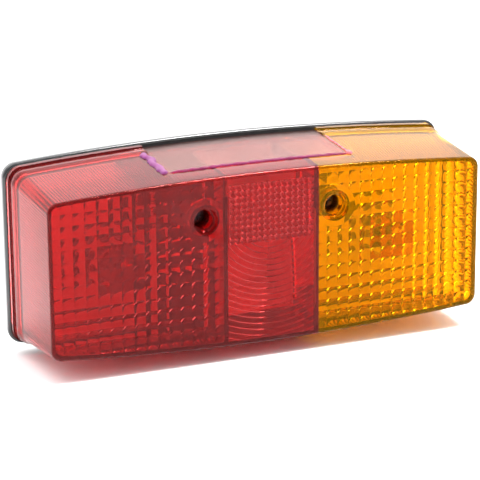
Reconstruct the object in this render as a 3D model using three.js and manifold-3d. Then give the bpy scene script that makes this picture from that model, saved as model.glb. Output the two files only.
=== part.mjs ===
// Three-chamber rear light for a trailer: stop and tail chamber, reflex reflector with tail and
// number-plate lamp, and indicator chamber, under one screwed-on lens.
// Millimetres. +X runs along the light to the right as seen from the front, +Z is up, and the front
// of the lens faces -Y. The origin is the centre of the flat back that bolts to the vehicle.
// "depth" is the distance forward of that back, so depth = -y.
import * as THREE from 'three';
import { mergeVertices } from 'three/addons/utils/BufferGeometryUtils.js';
import Module from 'manifold-3d';

const wasm = await Module();
wasm.setup();

// ---- Driving dimensions ----

const GAP = 0.3; // left between pieces that touch

const base = {
  halfWidth: 120,
  halfHeight: 46.1, // at the two ends
  bow: 5.6, // how much taller the middle is than the ends, top and bottom
  corner: 8,
  rimDepth: 4.6,
  rimChamfer: 0.7,
  floorDepth: 3,
  tongueInset: 5.6, // upstand that the lens drops over
  tongueWall: 2,
  tongueDepth: 12,
};

const lens = {
  backDepth: 5.9,
  frontDepth: 60.7,
  edgeDepth: 59.2, // where the rounded front edge begins
  halfWidth: 115.1, // of the wall at edgeDepth
  halfHeight: 39,
  bow: 5,
  corner: 5.5,
  endDraft: 0.042, // growth of the outline per millimetre towards the back
  sideDraft: 0.089,
  bowDraft: 0.008,
  cornerDraft: 0.03,
  skin: 2.5,
  wall: 2.2,
  flangeWall: 1.8, // from the plain wall surface inwards, behind the flange
};

// Steps of the lens wall from back to front: depth and how far the step stands off the plain wall.
const lensSteps = [
  { depth: lens.backDepth, offset: 1.4 },
  { depth: 8.2, offset: 1.4 },
  { depth: 8.7, offset: 0.5 },
  { depth: 12.2, offset: 0.5 },
  { depth: 12.7, offset: 1.0 },
  { depth: 14.6, offset: 1.0 },
  { depth: 16.4, offset: 0.3 },
  { depth: 20, offset: 0 },
  { depth: lens.edgeDepth, offset: 0 },
  { depth: 60.3, offset: -0.5 },
  { depth: lens.frontDepth, offset: -1.5 },
];

const gasket = { outerInset: 1, innerInset: 4.2, backDepth: 4.9, frontDepth: 5.6 };

// Slim fingers along the bottom of the housing that steady the lens beside its partitions.
const finger = { inner: 26.4, outer: 29.6, bottom: -41.2, top: -38.4, reach: 57.4 };

const partition = { x: 24.2, thickness: 2.2, baseTop: 38, lensBack: 39 };
const colourSplit = 25.3; // red moulding to the left of this x, amber to the right

const well = {
  x: 35,
  z: 22,
  mouthRadius: 6.3,
  mouthDepth: 3.8, // of the counterbore in the front face
  mouthChamfer: 0.9, // round the top of the bore below it
  boreRadius: 4.65,
  boreFloor: 44.2,
  shankHole: 2.8,
  tubeRadius: 6.6,
  tubeBack: 41.8,
  collarRadius: 8.1, // of the tube where it surrounds the counterbore
  collarBack: 54,
  padRadius: 11, // flat patch behind the front face
  padBack: 57.9,
};

const pillar = {
  footRadius: 9.2,
  topRadius: 8.4,
  topDepth: 49.3,
  socketRadius: 6.95,
  socketFloor: 41.2,
  pilotRadius: 2.75,
  pilotFloor: 20,
};

const lensScrew = {
  shankRadius: 2.4,
  tipDepth: 22,
  headRadius: 4.2,
  headDepth: 45.9,
  headHeight: 2.7,
  slotLength: 4.6,
  slotWidth: 1,
  slotDeep: 1.5,
};
const lensWasher = { outerRadius: 4.3, innerRadius: 2.75, backDepth: 44.5, thickness: 1.1 };

const plateWindow = {
  halfWidth: 48,
  backDepth: 6.1,
  frontDepth: 45,
  thickness: 2.5,
  ledge: 3,
  ledgeThickness: 1.3,
  ledgeBack: 12,
};

const weldBead = { height: 1.2, sideWidth: 3.4, frontWidth: 2.6, rightWidth: 1.8, backDepth: 17 };

const reflexBacking = { halfWidth: 21.6, bottom: 8, top: 37.5, depth: 55, thickness: 1.2 };

const tray = {
  wall: 1.2,
  floorDepth: 7.6,
  rimDepth: 11.4,
  inset: 8.2,
  taper: 1.6,
  stopInnerX: 46, // the stop chamber's tray leaves room for the wiring beside it
  indicatorInnerX: 26,
  bulbHole: 10.6,
  pillarHole: 10.2,
};
const centreTray = { halfWidth: 22.6, taper: 1.5, sideDepth: 38, bottom: -38, top: 37 };

const bulb = {
  x: 74,
  z: -2,
  capRadius: 7.5,
  capWall: 0.4,
  capBack: 7.8,
  capFront: 24,
  glassRadius: 12.75,
  glassCentre: 41.2,
  glassWall: 0.7,
  neckRadius: 6.7,
  neckBack: 19,
  pinRadius: 1,
  pinReach: 8.9,
  pinDepth: 12.8,
  offsetPin: 3, // extra height of one pin on the two-filament bulb
};

const socket = {
  backDepth: 3.3,
  frontDepth: 19.3,
  innerRadius: 7.9,
  outerRadius: 8.4,
  flangeRadius: 11,
  flangeThickness: 0.8,
  slotHeight: 2.8,
  slotWidth: 3,
  twist: 20, // degrees from locked to the way out
};

const festoon = {
  z: 20,
  depth: 18,
  glassRadius: 5,
  neckRadius: 3.3,
  glassHalf: 13.4,
  capRadius: 3.9,
  capInner: 11.6,
  capOuter: 18,
};
const clip = { x: 14.8, width: 4.6, sheet: 0.6, innerHalf: 4.4, backDepth: 9.1, frontDepth: 22 };

const stud = { x: 55, z: 0, radius: 2.95, hole: 3.3, reach: 20, headAcross: 10, headHeight: 4 };
const grommet = { x: 0, z: -27, waist: 6.4, hole: 6.8, flange: 8.5, bore: 3.4, nozzle: 10 };
const terminalBlock = { left: -62, right: -45, bottom: 14, top: 34, back: 3.3, front: 17.3 };
const terminalScrew = { count: 4, pitch: 4.8, radius: 1.9, hole: 2.3, recess: 3, height: 2.2 };
const earthStrip = { halfLength: 63, bottom: -14, top: -8, back: 3.3, thickness: 0.6 };

// ---- Materials ----

function material(color, roughness, metalness = 0, opacity = 1) {
  return new THREE.MeshStandardMaterial({
    color,
    roughness,
    metalness,
    opacity,
    transparent: opacity < 1,
  });
}

const finish = {
  blackPlastic: material(0x17181a, 0.45),
  redLens: material(0xc81e22, 0.12, 0, 0.85),
  amberLens: material(0xf59a08, 0.12, 0, 0.85),
  clearLens: material(0xe8dfe0, 0.12, 0, 0.5),
  solventWeld: material(0xa0568c, 0.3),
  rubber: material(0x1c1c1d, 0.8),
  whitePlastic: material(0xe9e8e2, 0.3),
  screwSteel: material(0x2a2a2c, 0.4, 0.9),
  zincSteel: material(0xb9bdc0, 0.35, 1),
  brass: material(0xc9a24e, 0.3, 1),
  glass: material(0xf2f6f6, 0.03, 0, 0.3),
  amberGlass: material(0xf0a030, 0.03, 0, 0.5),
  tungsten: material(0x6a6a6c, 0.5, 1),
  phenolic: material(0x5c3a22, 0.6),
};

// ---- Solids ----

// A three.js geometry as a manifold solid with its faces pointing out.
function solidOf(geometry) {
  const bare = geometry.clone();
  bare.deleteAttribute('normal');
  bare.deleteAttribute('uv');
  const merged = mergeVertices(bare, 1e-4);
  const positions = merged.attributes.position.array;
  const source = merged.index.array;
  const corners = [];
  let volume = 0;
  const a = new THREE.Vector3();
  const b = new THREE.Vector3();
  const c = new THREE.Vector3();
  for (let i = 0; i < source.length; i += 3) {
    const [p, q, r] = [source[i], source[i + 1], source[i + 2]];
    if (p === q || q === r || r === p) continue;
    corners.push(p, q, r);
    a.fromArray(positions, 3 * p);
    b.fromArray(positions, 3 * q);
    c.fromArray(positions, 3 * r);
    volume += a.dot(b.cross(c));
  }
  if (volume < 0) corners.reverse();
  const mesh = new wasm.Mesh({
    numProp: 3,
    vertProperties: Float32Array.from(positions),
    triVerts: Uint32Array.from(corners),
  });
  return new wasm.Manifold(mesh);
}

function joined(first, ...others) {
  return others.reduce((sum, other) => sum.add(other), first);
}

function cut(body, ...tools) {
  return tools.reduce((rest, tool) => rest.subtract(tool), body);
}

function box(x0, x1, depth0, depth1, z0, z1) {
  const geometry = new THREE.BoxGeometry(x1 - x0, depth1 - depth0, z1 - z0);
  geometry.translate((x0 + x1) / 2, -(depth0 + depth1) / 2, (z0 + z1) / 2);
  return solidOf(geometry);
}

// A turned solid round an axis that runs front to back; profile points are [radius, depth].
function turnedGeometry(profile, segments) {
  const points = profile.map(([radius, depth]) => new THREE.Vector2(radius, -depth));
  return new THREE.LatheGeometry(points, segments);
}

function turned(x, z, profile, segments = 24) {
  const geometry = turnedGeometry(profile, segments);
  geometry.translate(x, 0, z);
  return solidOf(geometry);
}

// The same, laid on its side so that its axis runs along X; profile points are [radius, x].
function turnedAlongX(depth, z, profile, segments = 20) {
  const geometry = turnedGeometry(profile.map(([radius, x]) => [radius, -x]), segments);
  geometry.rotateZ(-Math.PI / 2);
  geometry.translate(0, -depth, z);
  return solidOf(geometry);
}

function rod(x, z, radius, depth0, depth1, segments = 24) {
  return turned(x, z, [[0, depth0], [radius, depth0], [radius, depth1], [0, depth1]], segments);
}

function ring(x, z, outer, inner, depth0, depth1, segments = 20) {
  const profile = [[inner, depth0], [outer, depth0], [outer, depth1], [inner, depth1], [inner, depth0]];
  return turned(x, z, profile, segments);
}

const EDGE_STEPS = 10;
const CORNER_STEPS = 4;

// Points round a long outline with straight ends, round corners and bowed long edges.
function bowedOutline({ halfWidth, halfHeight, bow = 0, corner, x = 0, z = 0 }) {
  const edgeHeight = (along) => halfHeight + bow * (1 - (along / halfWidth) ** 2);
  const reach = halfWidth - corner;
  const centreHeight = edgeHeight(reach) - corner;
  const points = [];
  const addCorner = (sideX, sideZ, start) => {
    for (let i = 0; i <= CORNER_STEPS; i += 1) {
      const angle = start + (i / CORNER_STEPS) * (Math.PI / 2);
      const px = sideX * reach + corner * Math.cos(angle);
      const pz = sideZ * centreHeight + corner * Math.sin(angle);
      points.push([x + px, z + pz]);
    }
  };
  const addEdge = (sideX, sideZ) => {
    for (let i = 1; i < EDGE_STEPS; i += 1) {
      const along = sideX * reach * (1 - (2 * i) / EDGE_STEPS);
      points.push([x + along, z + sideZ * edgeHeight(along)]);
    }
  };
  addCorner(1, -1, -Math.PI / 2);
  addCorner(1, 1, 0);
  addEdge(1, 1);
  addCorner(-1, 1, Math.PI / 2);
  addCorner(-1, -1, Math.PI);
  addEdge(-1, -1);
  return points;
}

// A solid through a row of outlines, back to front, closed by a flat face at each end.
function loft(stations) {
  const rings = stations.map((station) => bowedOutline(station));
  const count = rings[0].length;
  const positions = [];
  rings.forEach((points, level) => {
    points.forEach(([px, pz]) => positions.push(px, -stations[level].depth, pz));
  });
  const addCentre = (station) => {
    positions.push(station.x ?? 0, -station.depth, station.z ?? 0);
    return positions.length / 3 - 1;
  };
  const backCentre = addCentre(stations[0]);
  const frontCentre = addCentre(stations[stations.length - 1]);
  const lastRing = (rings.length - 1) * count;
  const index = [];
  for (let i = 0; i < count; i += 1) {
    const next = (i + 1) % count;
    for (let level = 0; level < rings.length - 1; level += 1) {
      const here = level * count;
      const ahead = here + count;
      index.push(here + i, here + next, ahead + next);
      index.push(here + i, ahead + next, ahead + i);
    }
    index.push(backCentre, next, i);
    index.push(frontCentre, lastRing + i, lastRing + next);
  }
  const geometry = new THREE.BufferGeometry();
  geometry.setAttribute('position', new THREE.Float32BufferAttribute(positions, 3));
  geometry.setIndex(index);
  return solidOf(geometry);
}

function baseOutline(depth, inset) {
  return {
    depth,
    halfWidth: base.halfWidth - inset,
    halfHeight: base.halfHeight - inset,
    bow: base.bow,
    corner: Math.max(base.corner - 0.6 * inset, 2),
  };
}

// The plain tapered lens wall at a depth, moved out or in by an offset.
function wallOutline(depth, offset) {
  const back = lens.edgeDepth - depth;
  return {
    depth,
    halfWidth: lens.halfWidth + lens.endDraft * back + offset,
    halfHeight: lens.halfHeight + lens.sideDraft * back + offset,
    bow: lens.bow + lens.bowDraft * back,
    corner: lens.corner + lens.cornerDraft * back + 0.6 * offset,
  };
}

function wallLoft(offset, depth0, depth1) {
  return loft([wallOutline(depth0, offset), wallOutline(depth1, offset)]);
}

// ---- Housing ----

function baseHousing() {
  const chamfer = base.rimChamfer;
  const rim = loft([
    baseOutline(0, chamfer),
    baseOutline(chamfer, 0),
    baseOutline(base.rimDepth - chamfer, 0),
    baseOutline(base.rimDepth, chamfer),
  ]);
  const tongue = loft([
    baseOutline(base.floorDepth, base.tongueInset),
    baseOutline(base.tongueDepth, base.tongueInset),
  ]);
  const hollow = loft([
    baseOutline(base.floorDepth, base.tongueInset + base.tongueWall),
    baseOutline(base.tongueDepth + 1, base.tongueInset + base.tongueWall),
  ]);
  const notchHalf = plateWindow.halfWidth + 1.5;
  const windowNotch = box(-notchHalf, notchHalf, base.rimDepth, base.tongueDepth + 1, 35, 60);
  let body = cut(joined(rim, tongue), hollow, windowNotch);
  for (const side of [-1, 1]) {
    body = joined(body, baffle(side), screwPillar(side), locatingFinger(side));
    body = cut(body, pillarBores(side), rod(side * stud.x, stud.z, stud.hole, -1, 10));
  }
  const stripWindow = box(
    -earthStrip.halfLength,
    earthStrip.halfLength,
    base.floorDepth,
    5,
    earthStrip.bottom - 1,
    earthStrip.top + 1,
  );
  return cut(body, rod(grommet.x, grommet.z, grommet.hole, -1, 10), stripWindow);
}

// Light baffle across the housing, in line with the partition inside the lens.
function baffle(side) {
  const near = side * partition.x - 1;
  const slab = box(near, near + 2, 2, partition.baseTop, -60, 60);
  return slab.intersect(loft([baseOutline(1, 8.6), baseOutline(60, 10.6)]));
}

function screwPillar(side) {
  const profile = [
    [0, 2],
    [pillar.footRadius, 2],
    [pillar.topRadius, pillar.topDepth],
    [0, pillar.topDepth],
  ];
  return turned(side * well.x, well.z, profile);
}

function pillarBores(side) {
  const socketBore = rod(side * well.x, well.z, pillar.socketRadius, pillar.socketFloor, 60);
  const pilot = rod(side * well.x, well.z, pillar.pilotRadius, pillar.pilotFloor, 50, 20);
  return joined(socketBore, pilot);
}

function locatingFinger(side) {
  const { inner, outer, bottom, top, reach } = finger;
  const [x0, x1] = side < 0 ? [-outer, -inner] : [inner, outer];
  return box(x0, x1, 2, reach, bottom, top);
}

function lensGasket() {
  const outer = loft([
    baseOutline(gasket.backDepth, gasket.outerInset),
    baseOutline(gasket.frontDepth, gasket.outerInset),
  ]);
  const inner = loft([
    baseOutline(gasket.backDepth - 1, gasket.innerInset),
    baseOutline(gasket.frontDepth + 1, gasket.innerInset),
  ]);
  return cut(outer, inner);
}

// ---- Lens ----

function lensShell() {
  const outer = loft(lensSteps.map(({ depth, offset }) => wallOutline(depth, offset)));
  const hollow = loft([
    wallOutline(lens.backDepth - 1, -lens.flangeWall),
    wallOutline(15.5, -lens.flangeWall),
    wallOutline(19, -lens.wall),
    wallOutline(lens.frontDepth - lens.skin, -lens.wall),
  ]);
  let shell = joined(cut(outer, hollow), windowLedge());
  for (const side of [-1, 1]) {
    shell = joined(shell, lensPartition(side), wellTube(side));
    shell = cut(shell, wellBore(side));
  }
  return cut(shell, windowRebate());
}

function lensPartition(side) {
  const near = side * partition.x - partition.thickness / 2;
  const far = near + partition.thickness;
  const slab = box(near, far, partition.lensBack, 59, -60, 60);
  return slab.intersect(wallLoft(-1.4, partition.lensBack - 1, 59.5));
}

function wellTube(side) {
  const frontJoint = 59.5; // inside the front skin
  const profile = [
    [0, well.tubeBack],
    [well.tubeRadius, well.tubeBack],
    [well.tubeRadius, well.collarBack - 2],
    [well.collarRadius, well.collarBack],
    [well.collarRadius, well.padBack],
    [well.padRadius, well.padBack],
    [well.padRadius, frontJoint],
    [0, frontJoint],
  ];
  return turned(side * well.x, well.z, profile);
}

// The counterbore in the front face, the bore behind it and the hole for the screw's shank.
function wellBore(side) {
  const ledge = lens.frontDepth - well.mouthDepth;
  const over = 0.6;
  const profile = [
    [0, well.boreFloor],
    [well.boreRadius, well.boreFloor],
    [well.boreRadius, ledge - well.mouthChamfer],
    [well.boreRadius + well.mouthChamfer, ledge],
    [well.mouthRadius, ledge],
    [well.mouthRadius, lens.frontDepth + over],
    [0, lens.frontDepth + over],
  ];
  const shank = rod(side * well.x, well.z, well.shankHole, well.tubeBack - 1, well.boreFloor + 1, 20);
  return joined(turned(side * well.x, well.z, profile), shank);
}

// Thicker wall round the number-plate window, which leaves a ledge for the window to sit on.
function windowLedge() {
  const half = plateWindow.halfWidth + 2;
  const region = box(-half, half, plateWindow.ledgeBack, plateWindow.frontDepth + 2.5, 30, 60);
  const lower = plateWindow.thickness + GAP + plateWindow.ledgeThickness;
  const frame = cut(wallLoft(-1, 8, 55), wallLoft(-lower, 6, 57));
  return frame.intersect(region);
}

function windowRebate() {
  const half = plateWindow.halfWidth + GAP;
  const floorOffset = -(plateWindow.thickness + GAP);
  const region = box(-half, half, 4, plateWindow.frontDepth + GAP, 30, 60);
  const above = cut(region, wallLoft(floorOffset, 0, 57));
  const holeHalf = half - plateWindow.ledge;
  const holeBack = plateWindow.ledgeBack + plateWindow.ledge;
  const holeFront = plateWindow.frontDepth - plateWindow.ledge;
  return joined(above, box(-holeHalf, holeHalf, holeBack, holeFront, 30, 60));
}

function lensHalf(shell, side) {
  const edge = GAP / 2;
  const keep = side < 0
    ? box(-200, colourSplit - edge, 0, 100, -100, 100)
    : box(colourSplit + edge, 200, 0, 100, -100, 100);
  return shell.intersect(keep);
}

function windowPane() {
  const region = box(
    -plateWindow.halfWidth,
    plateWindow.halfWidth,
    plateWindow.backDepth,
    plateWindow.frontDepth,
    30,
    60,
  );
  const sheet = cut(wallLoft(0, 2, 57), wallLoft(-plateWindow.thickness, 0, 58));
  return sheet.intersect(region);
}

// A low bead laid on the plain wall, within the given stretch of x and depth.
function bead(x0, x1, depth0, depth1) {
  const layer = cut(wallLoft(GAP + weldBead.height, 15, 58), wallLoft(GAP, 12, 59));
  return layer.intersect(box(x0, x1, depth0, depth1, 30, 60));
}

function weldBeads() {
  const edge = plateWindow.halfWidth;
  const front = plateWindow.frontDepth;
  const back = lensSteps[7].depth;
  const frontEnd = front + weldBead.frontWidth;
  return {
    weld_bead_left: bead(-edge - weldBead.sideWidth, -edge, back, frontEnd),
    weld_bead_front: bead(-edge + GAP, edge - GAP, front, frontEnd),
    weld_bead_right: bead(edge, edge + weldBead.rightWidth, back, frontEnd),
  };
}

function reflexPlate() {
  const { halfWidth, bottom, top, depth, thickness } = reflexBacking;
  const plate = box(-halfWidth, halfWidth, depth, depth + thickness, bottom, top);
  const outer = box(-halfWidth, halfWidth, depth, lens.frontDepth - lens.skin - GAP, bottom, top);
  const inside = box(-halfWidth + 1.2, halfWidth - 1.2, depth, 60, bottom + 1.2, top - 1.2);
  return joined(plate, cut(outer, inside));
}

// ---- Fastenings ----

function screw(side) {
  const { shankRadius, tipDepth, headRadius, headDepth, headHeight } = lensScrew;
  const profile = [
    [0, tipDepth],
    [shankRadius, tipDepth + 4],
    [shankRadius, headDepth],
    [headRadius, headDepth],
    [headRadius, headDepth + headHeight - 1.2],
    [headRadius * 0.8, headDepth + headHeight - 0.4],
    [headRadius * 0.45, headDepth + headHeight],
    [0, headDepth + headHeight],
  ];
  const x = side * well.x;
  const half = lensScrew.slotLength / 2;
  const thin = lensScrew.slotWidth / 2;
  const top = headDepth + headHeight;
  const floor = top - lensScrew.slotDeep;
  const across = box(x - half, x + half, floor, top + 1, well.z - thin, well.z + thin);
  const upright = box(x - thin, x + thin, floor, top + 1, well.z - half, well.z + half);
  return cut(turned(x, well.z, profile, 20), across, upright);
}

function screwWasher(side) {
  const { outerRadius, innerRadius, backDepth, thickness } = lensWasher;
  return ring(side * well.x, well.z, outerRadius, innerRadius, backDepth, backDepth + thickness);
}

function mountingStud(side) {
  const x = side * stud.x;
  const headBack = base.floorDepth + GAP;
  const circumradius = stud.headAcross / 2 / Math.cos(Math.PI / 6);
  const head = rod(x, stud.z, circumradius, headBack, headBack + stud.headHeight, 6);
  const tip = [
    [0, -stud.reach],
    [stud.radius - 0.8, -stud.reach],
    [stud.radius, -stud.reach + 0.8],
    [stud.radius, headBack + 1],
    [0, headBack + 1],
  ];
  return joined(head, turned(x, stud.z, tip, 20));
}

function cableGrommet() {
  const inside = base.floorDepth + GAP;
  const profile = [
    [grommet.bore, -grommet.nozzle],
    [grommet.bore + 1.2, -grommet.nozzle],
    [grommet.waist - 0.6, -GAP],
    [grommet.waist, 0],
    [grommet.waist, inside],
    [grommet.flange, inside],
    [grommet.flange, inside + 1.4],
    [grommet.bore, inside + 1.4],
    [grommet.bore, -grommet.nozzle],
  ];
  return turned(grommet.x, grommet.z, profile);
}

// ---- Reflector trays ----

// Shallow tray that follows the housing's outline between two values of x.
function shallowTray(x0, x1) {
  const { wall, floorDepth, rimDepth, inset, taper } = tray;
  const floorFront = floorDepth + wall;
  const outer = loft([
    baseOutline(floorDepth, inset + taper),
    baseOutline(rimDepth, inset),
  ]);
  const inner = loft([
    baseOutline(floorFront, inset + taper + wall),
    baseOutline(rimDepth + 1, inset + wall),
  ]);
  const whole = outer.intersect(box(x0, x1, 0, 60, -60, 60));
  return cut(whole, inner.intersect(box(x0 + wall, x1 - wall, floorFront, 60, -60, 60)));
}

function stopReflector() {
  const bulbHole = rod(-bulb.x, bulb.z, tray.bulbHole, 5, 25);
  const wiringCorner = box(terminalBlock.left - 1.6, 0, 5, 25, terminalBlock.bottom - 2.4, 60);
  return cut(shallowTray(-base.halfWidth, -tray.stopInnerX), bulbHole, wiringCorner);
}

function indicatorReflector() {
  const { outer, top } = finger;
  const bulbHole = rod(bulb.x, bulb.z, tray.bulbHole, 5, 25);
  const pillarHole = rod(well.x, well.z, tray.pillarHole, 5, 25);
  const fingerNotch = box(0, outer + 0.5, 5, 25, -60, top + 0.5);
  const whole = shallowTray(tray.indicatorInnerX, base.halfWidth);
  return cut(whole, bulbHole, pillarHole, fingerNotch);
}

// The middle tray has tall sides and a bottom wall that keep its light out of the chambers beside
// it. Its top is open, so that the lamp lights the number-plate window too.
function centreReflector() {
  const { halfWidth, taper, sideDepth, bottom, top } = centreTray;
  const foot = halfWidth - taper;
  const bottomWall = box(-foot, foot, tray.floorDepth, sideDepth, bottom, bottom + tray.wall);
  const sides = [-1, 1].map((side) => {
    const shape = new THREE.Shape();
    shape.moveTo(side * (foot - tray.wall), -tray.floorDepth);
    shape.lineTo(side * foot, -tray.floorDepth);
    shape.lineTo(side * halfWidth, -sideDepth);
    shape.lineTo(side * (halfWidth - tray.wall), -sideDepth);
    shape.closePath();
    const geometry = new THREE.ExtrudeGeometry(shape, { depth: top - bottom, bevelEnabled: false });
    geometry.translate(0, 0, bottom);
    return solidOf(geometry);
  });
  return joined(shallowTray(-foot, foot), bottomWall, ...sides);
}

// ---- Bayonet lampholders and bulbs ----

// Wedge of a ring between two angles, used to cut the sideways leg of a bayonet slot.
function ringSector(x, z, startDegrees, endDegrees, depth0, depth1) {
  const shape = new THREE.Shape();
  const outer = 14;
  const steps = 6;
  shape.moveTo(0, 0);
  for (let i = 0; i <= steps; i += 1) {
    const degrees = startDegrees + ((endDegrees - startDegrees) * i) / steps;
    const angle = THREE.MathUtils.degToRad(degrees);
    shape.lineTo(outer * Math.cos(angle), outer * Math.sin(angle));
  }
  shape.closePath();
  const geometry = new THREE.ExtrudeGeometry(shape, { depth: depth1 - depth0, bevelEnabled: false });
  geometry.rotateX(Math.PI / 2);
  geometry.translate(x, -depth0, z);
  return solidOf(geometry);
}

function pinDepth(index, twoFilament) {
  return bulb.pinDepth + (twoFilament && index === 1 ? bulb.offsetPin : 0);
}

function lampholderSleeve(x, twoFilament) {
  const { backDepth, frontDepth, innerRadius, outerRadius } = socket;
  const flangeFront = backDepth + socket.flangeThickness;
  const profile = [
    [innerRadius, backDepth],
    [socket.flangeRadius, backDepth],
    [socket.flangeRadius, flangeFront],
    [outerRadius, flangeFront],
    [outerRadius, frontDepth],
    [innerRadius, frontDepth],
    [innerRadius, backDepth],
  ];
  let sleeve = turned(x, bulb.z, profile, 28);
  const spread = THREE.MathUtils.radToDeg(socket.slotWidth / 2 / bulb.capRadius);
  for (const index of [0, 1]) {
    const locked = 180 * index;
    const open = locked + socket.twist;
    const legBack = pinDepth(index, twoFilament) - socket.slotHeight / 2;
    const legFront = legBack + socket.slotHeight;
    const sideways = ringSector(x, bulb.z, locked - spread, open + spread, legBack, legFront);
    const wayOut = ringSector(x, bulb.z, open - spread, open + spread, legBack, frontDepth + 1);
    const core = rod(x, bulb.z, innerRadius - 1, 0, 40, 24);
    sleeve = cut(sleeve, cut(joined(sideways, wayOut), core));
  }
  return sleeve;
}

function bulbCap(x, twoFilament) {
  const { capRadius, capWall, capBack, capFront } = bulb;
  const profile = [
    [0, capBack],
    [capRadius - 1, capBack],
    [capRadius, capBack + 1],
    [capRadius, capFront],
    [capRadius - capWall, capFront],
    [capRadius - capWall, capBack + 1.2],
    [0, capBack + 1.2],
  ];
  let cap = turned(x, bulb.z, profile);
  for (const index of [0, 1]) {
    cap = joined(cap, bayonetPin(x, index, twoFilament));
  }
  return cap;
}

function bayonetPin(x, index, twoFilament) {
  const side = index === 0 ? 1 : -1;
  const inner = bulb.capRadius - bulb.capWall / 2;
  const [x0, x1] = side > 0 ? [inner, bulb.pinReach] : [-bulb.pinReach, -inner];
  const profile = [[0, x0], [bulb.pinRadius, x0], [bulb.pinRadius, x1], [0, x1]];
  return turnedAlongX(pinDepth(index, twoFilament), bulb.z, profile, 12).translate([x, 0, 0]);
}

// Outer or inner surface of the globe, from its front end back to its neck.
function globeProfile(shrink) {
  const radius = bulb.glassRadius - shrink;
  const turn = THREE.MathUtils.degToRad(125);
  const steps = 7;
  const points = [];
  for (let i = 0; i <= steps; i += 1) {
    const angle = (turn * i) / steps;
    points.push([radius * Math.sin(angle), bulb.glassCentre + radius * Math.cos(angle)]);
  }
  points.push([bulb.neckRadius + 1 - shrink, 28.5]);
  points.push([bulb.neckRadius - shrink, 25.5]);
  points.push([bulb.neckRadius - shrink, bulb.neckBack]);
  return points;
}

function bulbGlass(x) {
  const outer = globeProfile(0);
  const inner = globeProfile(bulb.glassWall).reverse();
  return turned(x, bulb.z, [...outer, ...inner], 20);
}

function bulbFilament(x, twoFilament) {
  const stem = turned(x, bulb.z, [[0, 14], [2.6, 14], [2, 24.4], [0, 24.4]], 16);
  const levels = twoFilament ? [36, 32] : [36];
  let body = stem;
  for (const [row, depth] of levels.entries()) {
    const half = 4.5 - row;
    const z = bulb.z + (twoFilament ? 1.4 - 2.8 * row : 0);
    for (const side of [-1, 1]) {
      const foot = box(x + Math.min(0, side * half), x + Math.max(0, side * half), 23.6, 24.3, z - 0.35, z + 0.35);
      body = joined(body, foot, rod(x + side * half, z, 0.35, 23.6, depth + 0.2, 8));
    }
    const coil = [[0, -half], [0.8, -half], [0.8, half], [0, half]];
    body = joined(body, turnedAlongX(depth, z, coil, 10).translate([x, 0, 0]));
  }
  return body;
}

function bulbContact(x) {
  return turned(x, bulb.z, [[0, 6.2], [1.4, 6.3], [2.4, 7], [2.4, 7.5], [0, 7.5]], 16);
}

function holderContact(x) {
  return turned(x, bulb.z, [[0, 4.9], [3.2, 4.9], [3.2, 5.2], [1.2, 5.9], [0, 5.9]], 20);
}

function lampholderPieces(name, x, twoFilament) {
  return {
    [`${name}_holder_sleeve`]: [lampholderSleeve(x, twoFilament), finish.zincSteel],
    [`${name}_holder_insulator`]: [rod(x, bulb.z, 7, 3.3, 4.6), finish.phenolic],
    [`${name}_holder_contact`]: [holderContact(x), finish.brass],
  };
}

function bulbPieces(name, x, twoFilament, glassFinish) {
  return {
    [`${name}_bulb_cap`]: [bulbCap(x, twoFilament), finish.zincSteel],
    [`${name}_bulb_contact`]: [bulbContact(x), finish.brass],
    [`${name}_bulb_glass`]: [bulbGlass(x), glassFinish],
    [`${name}_bulb_filament`]: [bulbFilament(x, twoFilament), finish.tungsten],
  };
}

// ---- Festoon lamp for the tail and number-plate light ----

function festoonGlass() {
  const { glassRadius, neckRadius, glassHalf } = festoon;
  const wall = 0.6;
  const outer = [[neckRadius, -glassHalf], [neckRadius, -11], [glassRadius, -9]];
  outer.push([glassRadius, 9], [neckRadius, 11], [neckRadius, glassHalf]);
  const inner = outer.map(([radius, x]) => [radius - wall, x]).reverse();
  return turnedAlongX(festoon.depth, festoon.z, [...outer, ...inner, outer[0]]);
}

function festoonCap(side) {
  const { capRadius, capInner, capOuter } = festoon;
  const profile = [
    [0, capOuter],
    [1.4, capOuter],
    [capRadius, capOuter - 2.4],
    [capRadius, capInner],
    [capRadius - 0.3, capInner],
    [capRadius - 0.3, capOuter - 2.6],
    [0, capOuter - 2.6],
  ].map(([radius, x]) => [radius, side * x]);
  return turnedAlongX(festoon.depth, festoon.z, profile);
}

function festoonFilament() {
  const half = 13;
  const profile = [[0, -half], [0.4, -half], [0.4, half], [0, half]];
  return turnedAlongX(festoon.depth, festoon.z, profile, 10);
}

function festoonClip(side) {
  const x0 = side * clip.x - clip.width / 2;
  const x1 = x0 + clip.width;
  const outer = clip.innerHalf + clip.sheet;
  const whole = box(x0, x1, clip.backDepth, clip.frontDepth, festoon.z - outer, festoon.z + outer);
  const space = box(
    x0 - 1,
    x1 + 1,
    clip.backDepth + clip.sheet,
    clip.frontDepth + 1,
    festoon.z - clip.innerHalf,
    festoon.z + clip.innerHalf,
  );
  return cut(whole, space);
}

// ---- Wiring inside the housing ----

function terminalPlace(index) {
  const x = (terminalBlock.left + terminalBlock.right) / 2;
  const middle = (terminalBlock.bottom + terminalBlock.top) / 2;
  return [x, middle + (index - (terminalScrew.count - 1) / 2) * terminalScrew.pitch];
}

function terminalBody() {
  const { left, right, bottom, top, back, front } = terminalBlock;
  let body = box(left, right, back, front, bottom, top);
  for (let i = 0; i < terminalScrew.count; i += 1) {
    const [x, z] = terminalPlace(i);
    body = cut(body, rod(x, z, terminalScrew.hole, front - terminalScrew.recess, front + 1, 16));
  }
  return body;
}

function terminalScrewAt(index) {
  const [x, z] = terminalPlace(index);
  const back = terminalBlock.front - terminalScrew.recess + GAP;
  return rod(x, z, terminalScrew.radius, back, back + terminalScrew.height, 16);
}

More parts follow.
